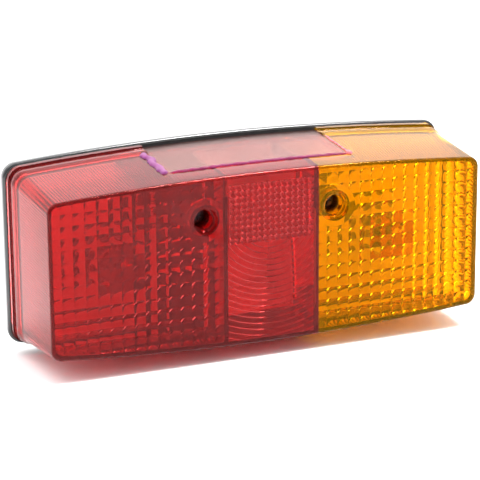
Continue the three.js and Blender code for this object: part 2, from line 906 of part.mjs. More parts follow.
function earthBar() {
  const { halfLength, bottom, top, back, thickness } = earthStrip;
  return box(-halfLength + GAP, halfLength - GAP, back, back + thickness, bottom, top);
}

// ---- Assembly ----

const shell = lensShell();

const pieces = {
  base_housing: [baseHousing(), finish.blackPlastic],
  lens_gasket: [lensGasket(), finish.rubber],
  lens_red: [lensHalf(shell, -1), finish.redLens],
  lens_amber: [lensHalf(shell, 1), finish.amberLens],
  plate_window: [windowPane(), finish.clearLens],
  reflex_backing: [reflexPlate(), finish.whitePlastic],
  screw_left: [screw(-1), finish.screwSteel],
  screw_right: [screw(1), finish.screwSteel],
  screw_washer_left: [screwWasher(-1), finish.rubber],
  screw_washer_right: [screwWasher(1), finish.rubber],
  stud_left: [mountingStud(-1), finish.zincSteel],
  stud_right: [mountingStud(1), finish.zincSteel],
  cable_grommet: [cableGrommet(), finish.rubber],
  reflector_stop: [stopReflector(), finish.whitePlastic],
  reflector_indicator: [indicatorReflector(), finish.whitePlastic],
  reflector_centre: [centreReflector(), finish.whitePlastic],
  ...lampholderPieces('stop', -bulb.x, true),
  ...lampholderPieces('indicator', bulb.x, false),
  ...bulbPieces('stop', -bulb.x, true, finish.glass),
  ...bulbPieces('indicator', bulb.x, false, finish.amberGlass),
  festoon_glass: [festoonGlass(), finish.glass],
  festoon_cap_left: [festoonCap(-1), finish.zincSteel],
  festoon_cap_right: [festoonCap(1), finish.zincSteel],
  festoon_filament: [festoonFilament(), finish.tungsten],
  festoon_clip_left: [festoonClip(-1), finish.brass],
  festoon_clip_right: [festoonClip(1), finish.brass],
  terminal_block: [terminalBody(), finish.blackPlastic],
  earth_strip: [earthBar(), finish.brass],
};
for (const [name, solid] of Object.entries(weldBeads())) {
  pieces[name] = [solid, finish.solventWeld];
}
for (let i = 0; i < terminalScrew.count; i += 1) {
  pieces[`terminal_screw_${i + 1}`] = [terminalScrewAt(i), finish.zincSteel];
}

function meshOf(name, solid, surface) {
  const { vertProperties, triVerts } = solid.getMesh();
  const geometry = new THREE.BufferGeometry();
  geometry.setAttribute('position', new THREE.BufferAttribute(Float32Array.from(vertProperties), 3));
  geometry.setIndex(new THREE.BufferAttribute(Uint32Array.from(triVerts), 1));
  geometry.computeVertexNormals();
  const mesh = new THREE.Mesh(geometry, surface);
  mesh.name = name;
  return mesh;
}

const light = new THREE.Group();
light.name = 'trailer_rear_light';
for (const [name, [solid, surface]] of Object.entries(pieces)) {
  light.add(meshOf(name, solid, surface));
}

export default light;
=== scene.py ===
import math

import bmesh
import bpy
import numpy as np
from mathutils import Matrix, Vector, noise


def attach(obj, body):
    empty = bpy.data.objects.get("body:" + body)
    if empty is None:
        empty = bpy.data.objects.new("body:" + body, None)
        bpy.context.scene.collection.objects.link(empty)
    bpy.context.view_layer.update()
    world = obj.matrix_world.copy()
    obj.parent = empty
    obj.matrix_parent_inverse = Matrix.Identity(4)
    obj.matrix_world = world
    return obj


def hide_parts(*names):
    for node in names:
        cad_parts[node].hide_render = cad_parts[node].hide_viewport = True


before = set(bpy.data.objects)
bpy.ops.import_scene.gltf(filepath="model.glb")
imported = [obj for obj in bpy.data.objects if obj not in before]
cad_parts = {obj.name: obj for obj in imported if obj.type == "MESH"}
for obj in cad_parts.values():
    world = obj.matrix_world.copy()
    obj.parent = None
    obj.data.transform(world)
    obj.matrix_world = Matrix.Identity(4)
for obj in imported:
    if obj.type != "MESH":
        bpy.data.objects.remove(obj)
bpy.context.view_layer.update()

MM = 0.001
scene = bpy.context.scene

# ---- Dimensions: most are those of the CAD model ----

BASE = dict(half_width=120, half_height=46.1, bow=5.6, corner=8)
RIM_DEPTH, RIM_ROUND, BACK_ROUND = 4.6, 1.3, 0.9
FLOOR_DEPTH = 3
ROOT_DEPTH = 2  # where baffles, pillars and fingers start, inside the floor
TONGUE_INSET, TONGUE_WALL, TONGUE_DEPTH = 5.6, 2, 12
NOTCH_GAP = 1.5  # between the window and the notch in the tongue, on each side
BEYOND = 60  # above, below or in front of all that a cutting region has to hold

# The lens: its stepped flange is given as (depth, distance out from the plain tapered wall).
LENS_BACK, LENS_FRONT, LENS_EDGE, LENS_ROUND = 5.9, 60.7, 59.2, 1.5
LENS_WALL, FLANGE_WALL = 2.2, 1.8
LENS_STEPS = [(5.9, 1.4), (8.2, 1.4), (8.7, 0.5), (12.2, 0.5)]
LENS_STEPS += [(12.7, 1.0), (14.6, 1.0), (16.4, 0.3), (20, 0)]
FLUTE_COUNT, FLUTE_DEPTH = 400, 0.22  # round the inside of the lens wall
PARTITION_X, PARTITION_THICKNESS, PARTITION_BACK, PARTITION_FRONT = 24.2, 2.2, 39, 59.4
COLOUR_SPLIT, COLOUR_GAP = 25.3, 0.01

# Optics: each skin is the thickness of lens in front of their relief, which adds to it.
PILLOW_WIDTH, PILLOW_HEIGHT, PILLOW_COLUMNS, PILLOW_ROWS = 6.04, 5.95, 17, 18
PILLOW_SAG, PILLOW_CORNER, PILLOW_SKIN = 0.75, 0.24, 1.7
PILLOW_Z0 = -38  # the lower edge of a row, with three more rows below it
REFLEX_LEFT, REFLEX_RIGHT, REFLEX_BOTTOM, REFLEX_TOP = -22.5, 22.95, 8.2, 38.5
PIP_PITCH, PIP_COLUMNS, PIP_ROWS, PIP_HEIGHT, PIP_SKIN = 3.03, 15, 10, 1.9, 1.9
RING_PITCH, RING_Z, RING_FIRST, RING_LAST = 3.02, 22.5, 9.0, 75
RING_SKIN, RING_DEEP, RING_SLOPE = 2.1, 2.65, 0.86  # slope: share of the pitch that isn't the step
MIDDLE_HALF, PLAIN_SKIN = 24.6, 2.2

WELL_X, WELL_Z = 35, 22
WELL_MOUTH, WELL_MOUTH_DEPTH, WELL_BORE, WELL_FLOOR = 6.3, 3.8, 4.65, 44.2
WELL_SHANK, WELL_TUBE, WELL_TUBE_BACK, WELL_TUBE_FRONT = 2.8, 6.6, 41.8, 59.8
WELL_COLLAR, WELL_COLLAR_BACK, WELL_PAD, WELL_PAD_BACK = 8.1, 54, 11, 57.5

WINDOW_HALF, WINDOW_BACK, WINDOW_FRONT, WINDOW_THICKNESS = 48, 6.1, 45, 2.5
WINDOW_LEDGE, WINDOW_LEDGE_BACK, WINDOW_GAP = 3, 12, 0.1
WINDOW_LOW = 30  # a height below the whole top wall
WINDOW_SHADE_BACK, WINDOW_SHADE_FRONT = 6, 15  # painted shade on the pane, darkest at the first depth

GASKET_BACK, GASKET_FRONT, GASKET_OUTER, GASKET_INNER = 4.75, 5.75, 1.0, 4.2
GASKET_BULGE_Z = -9
BAFFLE_THICKNESS, BAFFLE_FRONT = 2, 38
PILLAR_TOP, PILLAR_SOCKET, PILLAR_SOCKET_FLOOR, PILLAR_PILOT = 49.3, 6.95, 41.2, 2.75
FINGER_X, FINGER_Z, FINGER_FRONT = (26.4, 29.6), (-41.2, -38.4), 57.4
STUD_X, STUD_HOLE = 55, 3.3
EARTH_HALF, EARTH_Z = 63, (-14, -8)
GROMMET_Z, GROMMET_HOLE = -27, 6.8
TERMINAL_LEFT, TERMINAL_RIGHT, TERMINAL_BOTTOM, TERMINAL_TOP, TERMINAL_PITCH = -62, -45, 14, 34, 4.8

TRAY_WALL, TRAY_FLOOR, TRAY_RIM, TRAY_FOOT_INSET, TRAY_RIM_INSET = 1.2, 7.6, 11.4, 9.8, 8.2
TRAY_BULB_HOLE, TRAY_PILLAR_HOLE = 10.6, 10.2
STOP_TRAY_END, INDICATOR_TRAY_START = -46, 26
CENTRE_TRAY_FOOT, CENTRE_TRAY_TOP_X, CENTRE_TRAY_FRONT = 21.1, 22.6, 38
CENTRE_TRAY_BOTTOM, CENTRE_TRAY_TOP = -38, 37

BULB_X, BULB_Z = 74, -2
SLEEVE_DEPTH, PIN_DEPTH, PIN_OFFSET, SLOT_HALF, TWIST = 3.3, 12.8, 3, 1.4, 20
GLOBE_RADIUS, GLOBE_DEPTH, GLASS_THICKNESS = 12.75, 41.2, 0.7
FESTOON_DEPTH, FESTOON_Z, CLIP_X, CLIP_WIDTH = 18, 20, 14.8, 4.6

# The studio: brightness of the world round the light, and lamps as name, place in metres, size, power.
WORLD_FRONT, WORLD_BACK, WORLD_TOP = 0.2, 2.3, 0.5
LAMPS = [("key", (-0.5, -0.2, 1.3), 1.0, 6), ("glint", (0.42, -0.3, 1.1), 0.4, 22)]
FLOOR_HALF, FLOOR_Z = 6, -51.7 * MM
CAMERA_AZIMUTH, CAMERA_ELEVATION, CAMERA_ROLL = -22.617, 16.087, -0.45  # degrees
CAMERA_DISTANCE, CAMERA_ASIDE, CAMERA_ABOVE = 1.114577, 0.007424, -0.007059  # metres
FOCAL_LENGTH, SENSOR_WIDTH = 161.0, 36

# ---- Mesh tools ----


def link(mesh, name):
    made = bpy.data.objects.new(name, mesh)
    scene.collection.objects.link(made)
    return made


def solid(points, faces, name="work"):
    mesh = bpy.data.meshes.new(name)
    mesh.from_pydata(np.asarray(points, float).tolist(), [], faces)
    mesh.validate()
    return link(mesh, name)


def combined(body, tools, operation):
    """The body after joining, cutting or keeping what it shares with each tool; the tools are used up."""
    for tool in tools:
        change = body.modifiers.new("change", "BOOLEAN")
        change.operation = operation
        change.solver = "MANIFOLD"
        change.object = tool
    bpy.context.view_layer.update()
    graph = bpy.context.evaluated_depsgraph_get()
    mesh = bpy.data.meshes.new_from_object(body.evaluated_get(graph))
    body.modifiers.clear()
    old = body.data
    body.data = mesh
    bpy.data.meshes.remove(old)
    for tool in tools:
        bpy.data.meshes.remove(tool.data)
    return body


def joined(body, *tools):
    return combined(body, tools, "UNION")


def cut(body, *tools):
    return combined(body, tools, "DIFFERENCE")


def shared(body, *tools):
    return combined(body, tools, "INTERSECT")


def copied(body):
    return link(body.data.copy(), body.name + "_copy")


def box(x0, x1, depth0, depth1, z0, z1):
    points = [(x, -d, z) for x in (x0, x1) for d in (depth0, depth1) for z in (z0, z1)]
    faces = [(0, 1, 3, 2), (4, 6, 7, 5), (0, 4, 5, 1), (2, 3, 7, 6), (0, 2, 6, 4), (1, 5, 7, 3)]
    return outward(solid(points, faces))


def outward(body):
    """Turns the faces of a closed body outwards."""
    mesh = bmesh.new()
    mesh.from_mesh(body.data)
    bmesh.ops.recalc_face_normals(mesh, faces=mesh.faces)
    if mesh.calc_volume(signed=True) < 0:
        bmesh.ops.reverse_faces(mesh, faces=mesh.faces)
    mesh.to_mesh(body.data)
    mesh.free()
    return body


def turned(profile, segments=64, x=0, z=0):
    """A solid turned round an axis that runs front to back; profile points are (radius, depth)."""

    def place(radius, angle, depth):
        return x + radius * math.cos(angle), -depth, z + radius * math.sin(angle)

    return outward(solid(*turned_shape(profile, segments, place)))


def turned_along_x(profile, depth, z, segments=48):
    """The same, laid on its side along X; profile points are (radius, x)."""

    def place(radius, angle, x):
        return x, -depth + radius * math.cos(angle), z + radius * math.sin(angle)

    return outward(solid(*turned_shape(profile, segments, place)))


def turned_shape(profile, segments, place):
    """Points and faces of a closed profile turned once; points on the axis are used only once."""
    points, faces, rows = [], [], []
    closed_on_itself = profile[0] == profile[-1]
    if closed_on_itself:
        profile = profile[:-1]
    for radius, along in profile:
        if radius <= 1e-9:
            rows.append([len(points)] * segments)
            points.append(place(0, 0, along))
        else:
            rows.append(list(range(len(points), len(points) + segments)))
            points += [place(radius, 2 * math.pi * i / segments, along) for i in range(segments)]
    pairs = list(zip(rows[:-1], rows[1:]))
    if closed_on_itself:
        pairs.append((rows[-1], rows[0]))
    for here, ahead in pairs:
        for i in range(segments):
            j = (i + 1) % segments
            corners = [here[i], here[j], ahead[j], ahead[i]]
            face = [c for k, c in enumerate(corners) if c != corners[k - 1]]
            if len(face) > 2:
                faces.append(face)
    return points, faces


def bowed_outline(half_width, half_height, bow, corner, corner_steps=10, edge_steps=48):
    """Points round a long outline with straight ends, round corners and bowed long edges."""

    def edge_height(along):
        return half_height + bow * (1 - (along / half_width) ** 2)

    reach = half_width - corner
    centre = edge_height(reach) - corner
    points = []

    def add_corner(side_x, side_z, start):
        for i in range(corner_steps + 1):
            angle = start + i / corner_steps * math.pi / 2
            x = side_x * reach + corner * math.cos(angle)
            points.append((x, side_z * centre + corner * math.sin(angle)))

    def add_edge(side_x, side_z):
        for i in range(1, edge_steps):
            along = side_x * reach * (1 - 2 * i / edge_steps)
            points.append((along, side_z * edge_height(along)))

    add_corner(1, -1, -math.pi / 2)
    add_corner(1, 1, 0)
    add_edge(1, 1)
    add_corner(-1, 1, math.pi / 2)
    add_corner(-1, -1, math.pi)
    add_edge(-1, -1)
    return points


def loft(stations):
    """A solid through a row of (depth, outline settings), closed by a flat face at each end."""
    return ringed([depth for depth, _ in stations], [bowed_outline(**settings) for _, settings in stations])


def ringed(depths, rings):
    """A solid through rings of (x, z) points at the given depths."""
    count = len(rings[0])
    points, faces = [], []
    for depth, ring in zip(depths, rings):
        points += [(x, -depth, z) for x, z in ring]
    for level in range(len(rings) - 1):
        here, ahead = level * count, (level + 1) * count
        for i in range(count):
            j = (i + 1) % count
            faces.append((here + i, here + j, ahead + j, ahead + i))
    for level, flip in ((0, True), (len(rings) - 1, False)):
        points.append((0, -depths[level], 0))
        centre, start = len(points) - 1, level * count
        for i in range(count):
            j = (i + 1) % count
            faces.append((centre, start + j, start + i) if flip else (centre, start + i, start + j))
    return outward(solid(points, faces))


def tube_faces(rows, around):
    """Faces of a tube through rows + 1 rings of points, with both its ends closed."""
    faces = []
    for i in range(rows):
        for k in range(around):
            j = (k + 1) % around
            faces.append((i * around + k, i * around + j, (i + 1) * around + j, (i + 1) * around + k))
    return faces + [tuple(range(around)), tuple(range(rows * around, (rows + 1) * around))]


def outward_of(points):
    """Unit vectors that point out of a closed outline, one at each of its points."""
    ahead = np.roll(points, -1, 0) - np.roll(points, 1, 0)
    return np.stack([ahead[:, 1], -ahead[:, 0]], -1) / np.linalg.norm(ahead, axis=1)[:, None]


def fluted(ring, count, fade):
    """The outline with a number of fine flutes pressed into it, all the same width along it."""
    points = np.asarray(ring, float)
    steps = np.linalg.norm(np.roll(points, -1, 0) - points, axis=1)
    along = np.concatenate([[0], np.cumsum(steps)])
    per_flute = 5
    places = np.arange(count * per_flute) / (count * per_flute) * along[-1]
    closed = np.vstack([points, points[:1]])
    smooth = np.stack([np.interp(places, along, closed[:, k]) for k in (0, 1)], -1)
    phase = (np.arange(len(places)) % per_flute) / per_flute * 2 - 1
    depth = FLUTE_DEPTH * fade * (1 - phase**2)
    return (smooth - outward_of(smooth) * depth[:, None]).tolist()


def fluted_loft(stations):
    """A loft with flutes; stations are (depth, outline settings, share of the flutes' depth)."""
    rings = [fluted(bowed_outline(**settings), FLUTE_COUNT, fade) for _, settings, fade in stations]
    return ringed([depth for depth, _, _ in stations], rings)


def base_outline(inset):
    return dict(
        half_width=BASE["half_width"] - inset,
        half_height=BASE["half_height"] - inset,
        bow=BASE["bow"],
        corner=max(BASE["corner"] - 0.6 * inset, 2),
    )


def wall_outline(depth, offset):
    """The plain tapered lens wall at a depth, moved out or in by an offset."""
    back = LENS_EDGE - depth
    return dict(
        half_width=115.1 + 0.042 * back + offset,
        half_height=39 + 0.089 * back + offset,
        bow=5 + 0.008 * back,
        corner=5.5 + 0.03 * back + 0.6 * offset,
    )


def wall_loft(offset, depth0, depth1):
    return loft([(depth0, wall_outline(depth0, offset)), (depth1, wall_outline(depth1, offset))])


def height_block(xs, zs, front_of, back=0):
    """A block whose front face stands at the depth that front_of gives over the grid of xs and zs."""
    xs, zs = np.asarray(xs, float), np.asarray(zs, float)
    gx, gz = np.meshgrid(xs, zs, indexing="ij")
    front = front_of(gx, gz)
    nx, nz = gx.shape
    top = np.stack([gx, -front, gz], -1).reshape(-1, 3)
    under = np.stack([gx, np.full_like(gx, -back), gz], -1).reshape(-1, 3)
    points = np.concatenate([top, under])
    index = np.arange(nx * nz).reshape(nx, nz)
    a, b, c, d = index[:-1, :-1], index[1:, :-1], index[1:, 1:], index[:-1, 1:]
    quads = np.stack([a, b, c, d], -1).reshape(-1, 4)
    faces = quads.tolist() + (quads[:, ::-1] + nx * nz).tolist()
    edge = list(index[:, 0]) + list(index[-1, 1:]) + list(index[-2::-1, -1]) + list(index[0, -2:0:-1])
    for i, p in enumerate(edge):
        q = edge[(i + 1) % len(edge)]
        faces.append((int(q), int(p), int(p) + nx * nz, int(q) + nx * nz))
    return outward(solid(points, faces))


def finished(body, name, sharp=28):
    """Scales a body to metres, gives it its name and shades it smooth except at sharp edges."""
    mesh = body.data
    mesh.transform(Matrix.Scale(MM, 4))
    mesh.shade_smooth()
    mesh.set_sharp_from_angle(angle=math.radians(sharp))
    body.name = mesh.name = name
    return body


def placed(body, owner, slot, material, *nodes):
    """Puts a finished piece on its CAD body in place of the CAD nodes that it stands for."""
    body.data.materials.clear()
    body.data.materials.append(material)
    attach(body, owner)
    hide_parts(*nodes)
    return body


# ---- Lens ----


def cells(start, width, count, steps):
    return [start + width * i / steps for i in range(count * steps + 1)]


def pillow_block(side):
    """The space behind the pillow optics of one outer chamber."""
    steps = 8
    xs = [side * x for x in cells(PARTITION_X, PILLOW_WIDTH, PILLOW_COLUMNS, steps)]
    xs.sort()
    zs = cells(PILLOW_Z0 - 3 * PILLOW_HEIGHT, PILLOW_HEIGHT, PILLOW_ROWS, steps)

    def front_of(x, z):
        u = np.mod((np.abs(x) - PARTITION_X) / PILLOW_WIDTH + 1e-9, 1) * 2 - 1
        v = np.mod((z - PILLOW_Z0) / PILLOW_HEIGHT + 1e-9, 1) * 2 - 1
        bump = PILLOW_SAG * (1 - u * u) + PILLOW_SAG * (1 - v * v)
        return LENS_FRONT - PILLOW_SKIN - np.maximum(bump, PILLOW_CORNER)

    return height_block(xs, zs, front_of)


def pip_block():
    """The space behind the grid of reflex pips, each of which ends in three square facets."""
    steps = 10
    xs = cells(REFLEX_LEFT, PIP_PITCH, PIP_COLUMNS, steps)
    zs = cells(REFLEX_BOTTOM, PIP_PITCH, PIP_ROWS, steps)
    facets = [math.radians(angle) for angle in (90, 210, 330)]

    def front_of(x, z):
        u = (np.mod((x - REFLEX_LEFT) / PIP_PITCH + 1e-9, 1) - 0.5) * PIP_PITCH
        v = (np.mod((z - REFLEX_BOTTOM) / PIP_PITCH + 1e-9, 1) - 0.5) * PIP_PITCH
        lowest = np.max([u * math.cos(a) + v * math.sin(a) for a in facets], axis=0)
        height = np.clip(PIP_HEIGHT - math.sqrt(2) * lowest, 0, PIP_HEIGHT)
        return LENS_FRONT - PIP_SKIN - height

    return height_block(xs, zs, front_of)


def ring_block():
    """The space behind the stepped rings below the reflex field."""
    low, high = LENS_FRONT - RING_SKIN, LENS_FRONT - RING_DEEP
    reach = 80
    ring = []
    radius = RING_FIRST
    while radius < RING_LAST:
        ring += [(radius, low), (radius + RING_PITCH * RING_SLOPE, high)]
        radius += RING_PITCH
    profile = [(0, 0), (reach, 0), (reach, low)] + ring[::-1] + [(0, high)]
    region = box(-MIDDLE_HALF, MIDDLE_HALF, -1, reach, -BEYOND, REFLEX_BOTTOM)
    return shared(turned(profile, 240, 0, RING_Z), region)


def lens_shell():
    quarter = np.linspace(0, math.pi / 2, 7)
    arc = [(LENS_EDGE + LENS_ROUND * math.sin(a), -LENS_ROUND * (1 - math.cos(a))) for a in quarter]
    steps = LENS_STEPS + arc + [(LENS_FRONT, -LENS_ROUND - 0.06)]
    shell = loft([(d, wall_outline(d, o)) for d, o in steps])
    hollow_steps = [(LENS_BACK - 1, -FLANGE_WALL, 0), (15.5, -FLANGE_WALL, 0), (19, -LENS_WALL, 0)]
    hollow_steps += [(20.5, -LENS_WALL, 1), (62, -LENS_WALL, 1)]
    hollow = fluted_loft([(d, wall_outline(d, o), fade) for d, o, fade in hollow_steps])
    plain = LENS_FRONT - PLAIN_SKIN
    above_pips = box(-MIDDLE_HALF, MIDDLE_HALF, 0, plain, REFLEX_TOP, BEYOND)
    left_of_pips = box(-MIDDLE_HALF, REFLEX_LEFT, 0, plain, REFLEX_BOTTOM, REFLEX_TOP + 0.5)
    right_of_pips = box(REFLEX_RIGHT, MIDDLE_HALF, 0, plain, REFLEX_BOTTOM, REFLEX_TOP + 0.5)
    plain_strips = (above_pips, left_of_pips, right_of_pips)
    optics = joined(pillow_block(-1), pillow_block(1), pip_block(), ring_block(), *plain_strips)
    shell = cut(shell, shared(hollow, optics))
    shell = joined(shell, window_ledge())
    for side in (-1, 1):
        shell = joined(shell, lens_partition(side), well_tube(side))
        shell = cut(shell, well_bore(side))
    return cut(shell, window_rebate())


def lens_partition(side):
    near = side * PARTITION_X - PARTITION_THICKNESS / 2
    slab = box(near, near + PARTITION_THICKNESS, PARTITION_BACK, PARTITION_FRONT, -BEYOND, BEYOND)
    return shared(slab, wall_loft(-1.4, PARTITION_BACK - 1, PARTITION_FRONT + 0.1))


def well_tube(side):
    profile = [(0, WELL_TUBE_BACK), (WELL_TUBE, WELL_TUBE_BACK), (WELL_TUBE, WELL_COLLAR_BACK - 2)]
    profile += [(WELL_COLLAR, WELL_COLLAR_BACK), (WELL_COLLAR, WELL_PAD_BACK), (WELL_PAD, WELL_PAD_BACK)]
    profile += [(WELL_PAD, WELL_TUBE_FRONT), (0, WELL_TUBE_FRONT)]
    return turned(profile, 96, side * WELL_X, WELL_Z)


def well_bore(side):
    ledge = LENS_FRONT - WELL_MOUTH_DEPTH
    profile = [(0, WELL_TUBE_BACK - 1), (WELL_SHANK, WELL_TUBE_BACK - 1), (WELL_SHANK, WELL_FLOOR)]
    profile += [(WELL_BORE, WELL_FLOOR), (WELL_BORE, ledge - 0.9), (WELL_BORE + 0.3, ledge - 0.35)]
    profile += [(WELL_BORE + 0.9, ledge), (WELL_MOUTH - 0.4, ledge), (WELL_MOUTH, ledge + 0.4)]
    profile += [(WELL_MOUTH, LENS_FRONT - 0.35), (WELL_MOUTH + 0.1, LENS_FRONT - 0.1)]
    profile += [(WELL_MOUTH + 0.4, LENS_FRONT), (WELL_MOUTH + 0.4, LENS_FRONT + 0.6), (0, LENS_FRONT + 0.6)]
    return turned(profile, 96, side * WELL_X, WELL_Z)


def window_ledge():
    half = WINDOW_HALF + 2
    region = box(-half, half, WINDOW_LEDGE_BACK, WINDOW_FRONT + 2.5, WINDOW_LOW, BEYOND)
    return shared(cut(wall_loft(-1, 8, 55), wall_loft(-(WINDOW_THICKNESS + 1.6), 6, 57)), region)


def window_rebate():
    half = WINDOW_HALF + WINDOW_GAP
    region = box(-half, half, 4, WINDOW_FRONT + WINDOW_GAP, WINDOW_LOW, BEYOND)
    above = cut(region, wall_loft(-(WINDOW_THICKNESS + WINDOW_GAP), 0, 57))
    left, right = -half + WINDOW_LEDGE, half - WINDOW_LEDGE
    back, front = WINDOW_LEDGE_BACK + WINDOW_LEDGE, WINDOW_FRONT - WINDOW_LEDGE
    return joined(above, box(left, right, back, front, WINDOW_LOW, BEYOND))


def window_pane():
    region = box(-WINDOW_HALF, WINDOW_HALF, WINDOW_BACK, WINDOW_FRONT, WINDOW_LOW, BEYOND)
    return shared(cut(wall_loft(0, 2, 57), wall_loft(-WINDOW_THICKNESS, 0, 58)), region)


# ---- Housing ----


def rod(x, z, radius, depth0, depth1, segments=48, edge=0.0):
    """A round rod from front to back, with an optional small chamfer at both ends."""
    profile = [(0, depth0), (radius - edge, depth0), (radius, depth0 + edge), (radius, depth1 - edge)]
    profile += [(radius - edge, depth1), (0, depth1)]
    corners = [p for k, p in enumerate(profile) if k == 0 or p != profile[k - 1]]
    return turned(corners, segments, x, z)


def extruded(corners, place):
    """A prism whose two ends are the corners carried to two places; place gives each end's points."""
    count = len(corners)
    points = [place(a, b, end) for end in (0, 1) for a, b in corners]
    faces = [tuple(range(count)), tuple(range(2 * count - 1, count - 1, -1))]
    faces += [(i, (i + 1) % count, count + (i + 1) % count, count + i) for i in range(count)]
    return outward(solid(points, faces))


def bevelled(body, width, segments=3):
    """The body with its sharp edges rounded."""
    change = body.modifiers.new("round", "BEVEL")
    change.width = width
    change.segments = segments
    change.limit_method = "ANGLE"
    change.angle_limit = math.radians(40)
    return combined(body, (), "UNION")


def rounded_edge(radius, steps=6):
    """Pairs of (distance from the face, inset) round a quarter circle, starting on the face."""
    angles = [i / steps * math.pi / 2 for i in range(steps + 1)]
    return [(radius * (1 - math.cos(a)), radius * (1 - math.sin(a))) for a in angles]


def housing_body():
    back_edge = rounded_edge(BACK_ROUND)
    front_edge = rounded_edge(RIM_ROUND)
    stations = [(along, base_outline(inset)) for along, inset in back_edge]
    stations += [(RIM_DEPTH - along, base_outline(inset)) for along, inset in reversed(front_edge)]
    rim = loft(stations)
    tongue_steps = [(FLOOR_DEPTH, TONGUE_INSET), (TONGUE_DEPTH - 0.4, TONGUE_INSET)]
    tongue_steps.append((TONGUE_DEPTH, TONGUE_INSET + 0.4))
    tongue = loft([(depth, base_outline(inset)) for depth, inset in tongue_steps])
    inner = base_outline(TONGUE_INSET + TONGUE_WALL)
    hollow = loft([(FLOOR_DEPTH, inner), (TONGUE_DEPTH + 1, inner)])
    notch_half = WINDOW_HALF + NOTCH_GAP
    notch = box(-notch_half, notch_half, RIM_DEPTH, TONGUE_DEPTH + 1, 35, BEYOND)
    body = cut(joined(rim, tongue), hollow, notch)
    for side in (-1, 1):
        body = joined(body, baffle(side), screw_pillar(side), locating_finger(side))
        socket_bore = rod(side * WELL_X, WELL_Z, PILLAR_SOCKET, PILLAR_SOCKET_FLOOR, BEYOND)
        pilot = rod(side * WELL_X, WELL_Z, PILLAR_PILOT, 20, 50)
        body = cut(body, socket_bore, pilot, rod(side * STUD_X, 0, STUD_HOLE, -1, 10))
    low, high = EARTH_Z
    strip_space = box(-EARTH_HALF, EARTH_HALF, FLOOR_DEPTH, 5, low - 1, high + 1)
    return cut(body, rod(0, GROMMET_Z, GROMMET_HOLE, -1, 10), strip_space)


def baffle(side):
    near = side * PARTITION_X - BAFFLE_THICKNESS / 2
    slab = box(near, near + BAFFLE_THICKNESS, ROOT_DEPTH, BAFFLE_FRONT, -BEYOND, BEYOND)
    return shared(slab, loft([(1, base_outline(8.6)), (BEYOND, base_outline(10.6))]))


def screw_pillar(side):
    top = PILLAR_TOP
    profile = [(0, ROOT_DEPTH), (10.2, ROOT_DEPTH), (10.2, 3.2), (9.5, 3.9), (9.2, 5.2)]
    profile += [(8.42, top - 1), (8.1, top - 0.3), (7.8, top), (0, top)]
    return turned(profile, 64, side * WELL_X, WELL_Z)


def locating_finger(side):
    x0, x1 = sorted(side * x for x in FINGER_X)
    return bevelled(box(x0, x1, ROOT_DEPTH, FINGER_FRONT, *FINGER_Z), 0.5)


def shifted(ring, amounts):
    """The outline with each of its points moved outwards by its own amount."""
    points = np.asarray(ring, float)
    return (points + outward_of(points) * np.asarray(amounts, float)[:, None]).tolist()


def squeezed_gasket():
    """The gasket as clamped: its outer edge is uneven and bulges at the left end."""
    ring = bowed_outline(**base_outline(GASKET_OUTER), corner_steps=24, edge_steps=240)
    amounts = []
    for x, z in ring:
        wobble = 0.35 * noise.noise(Vector((x / 5, z / 5, 1)))
        bulge = 0.8 * math.exp(-(((z - GASKET_BULGE_Z) / 2.4) ** 2)) if x < -100 else 0
        amounts.append(wobble + bulge)
    outer = ringed([GASKET_BACK, GASKET_FRONT], [shifted(ring, amounts)] * 2)
    inner = base_outline(GASKET_INNER)
    return cut(outer, loft([(4, inner), (7, inner)]))


# ---- Weld beads round the window ----


def wall_height(x, depth):
    wall = wall_outline(depth, 0)
    return wall["half_height"] + wall["bow"] * (1 - (x / wall["half_width"]) ** 2)


def weld_run(start, end, width, swell, seed):
    """A lumpy bead laid on top of the lens from one (x, depth) to another; swell widens it on the way."""
    steps, sides = 90, 16
    (x0, d0), (x1, d1) = start, end
    length = math.hypot(x1 - x0, d1 - d0)
    side_x, side_d = -(d1 - d0) / length, (x1 - x0) / length
    points = []
    for i in range(steps + 1):
        t = i / steps
        lump = noise.noise(Vector((t * length / 2.6, seed, 0)))
        sway = 0.35 * width * noise.noise(Vector((t * length / 6, seed, 5)))
        taper = math.sqrt(max(1 - (2 * t - 1) ** 16, 0.02))
        half = 0.5 * (width * (1 + 0.45 * lump) + swell(t)) * taper
        x, depth = x0 + (x1 - x0) * t + sway * side_x, d0 + (d1 - d0) * t + sway * side_d
        for k in range(sides):
            angle = 2 * math.pi * k / sides
            across, rise = half * math.cos(angle), min(half, 1.3) * math.sin(angle)
            px, pd = x + across * side_x, depth + across * side_d
            points.append((px, -pd, wall_height(px, pd) + rise))
    bead = outward(solid(points, tube_faces(steps, sides)))
    return cut(bead, wall_loft(0.03, 8, 59))


# ---- Reflector trays ----


def shallow_tray(x0, x1):
    foot, rim, wall = TRAY_FOOT_INSET, TRAY_RIM_INSET, TRAY_WALL
    floor_front = TRAY_FLOOR + wall
    outer = loft([(TRAY_FLOOR, base_outline(foot)), (TRAY_RIM, base_outline(rim))])
    inner = loft([(floor_front, base_outline(foot + wall)), (TRAY_RIM + 1, base_outline(rim + wall))])
    body = shared(outer, box(x0, x1, 0, BEYOND, -BEYOND, BEYOND))
    inner = shared(inner, box(x0 + wall, x1 - wall, floor_front, BEYOND, -BEYOND, BEYOND))
    return cut(body, inner)


def stop_tray():
    """The stop chamber's tray, with a corner left out round the terminal block."""
    corner = box(TERMINAL_LEFT - 1.6, 0, 5, 25, TERMINAL_BOTTOM - 2.4, BEYOND)
    bulb_hole = rod(-BULB_X, BULB_Z, TRAY_BULB_HOLE, 5, 25)
    tray = cut(shallow_tray(-BASE["half_width"], STOP_TRAY_END), bulb_hole, corner)
    return bevelled(tray, 0.25, 2)


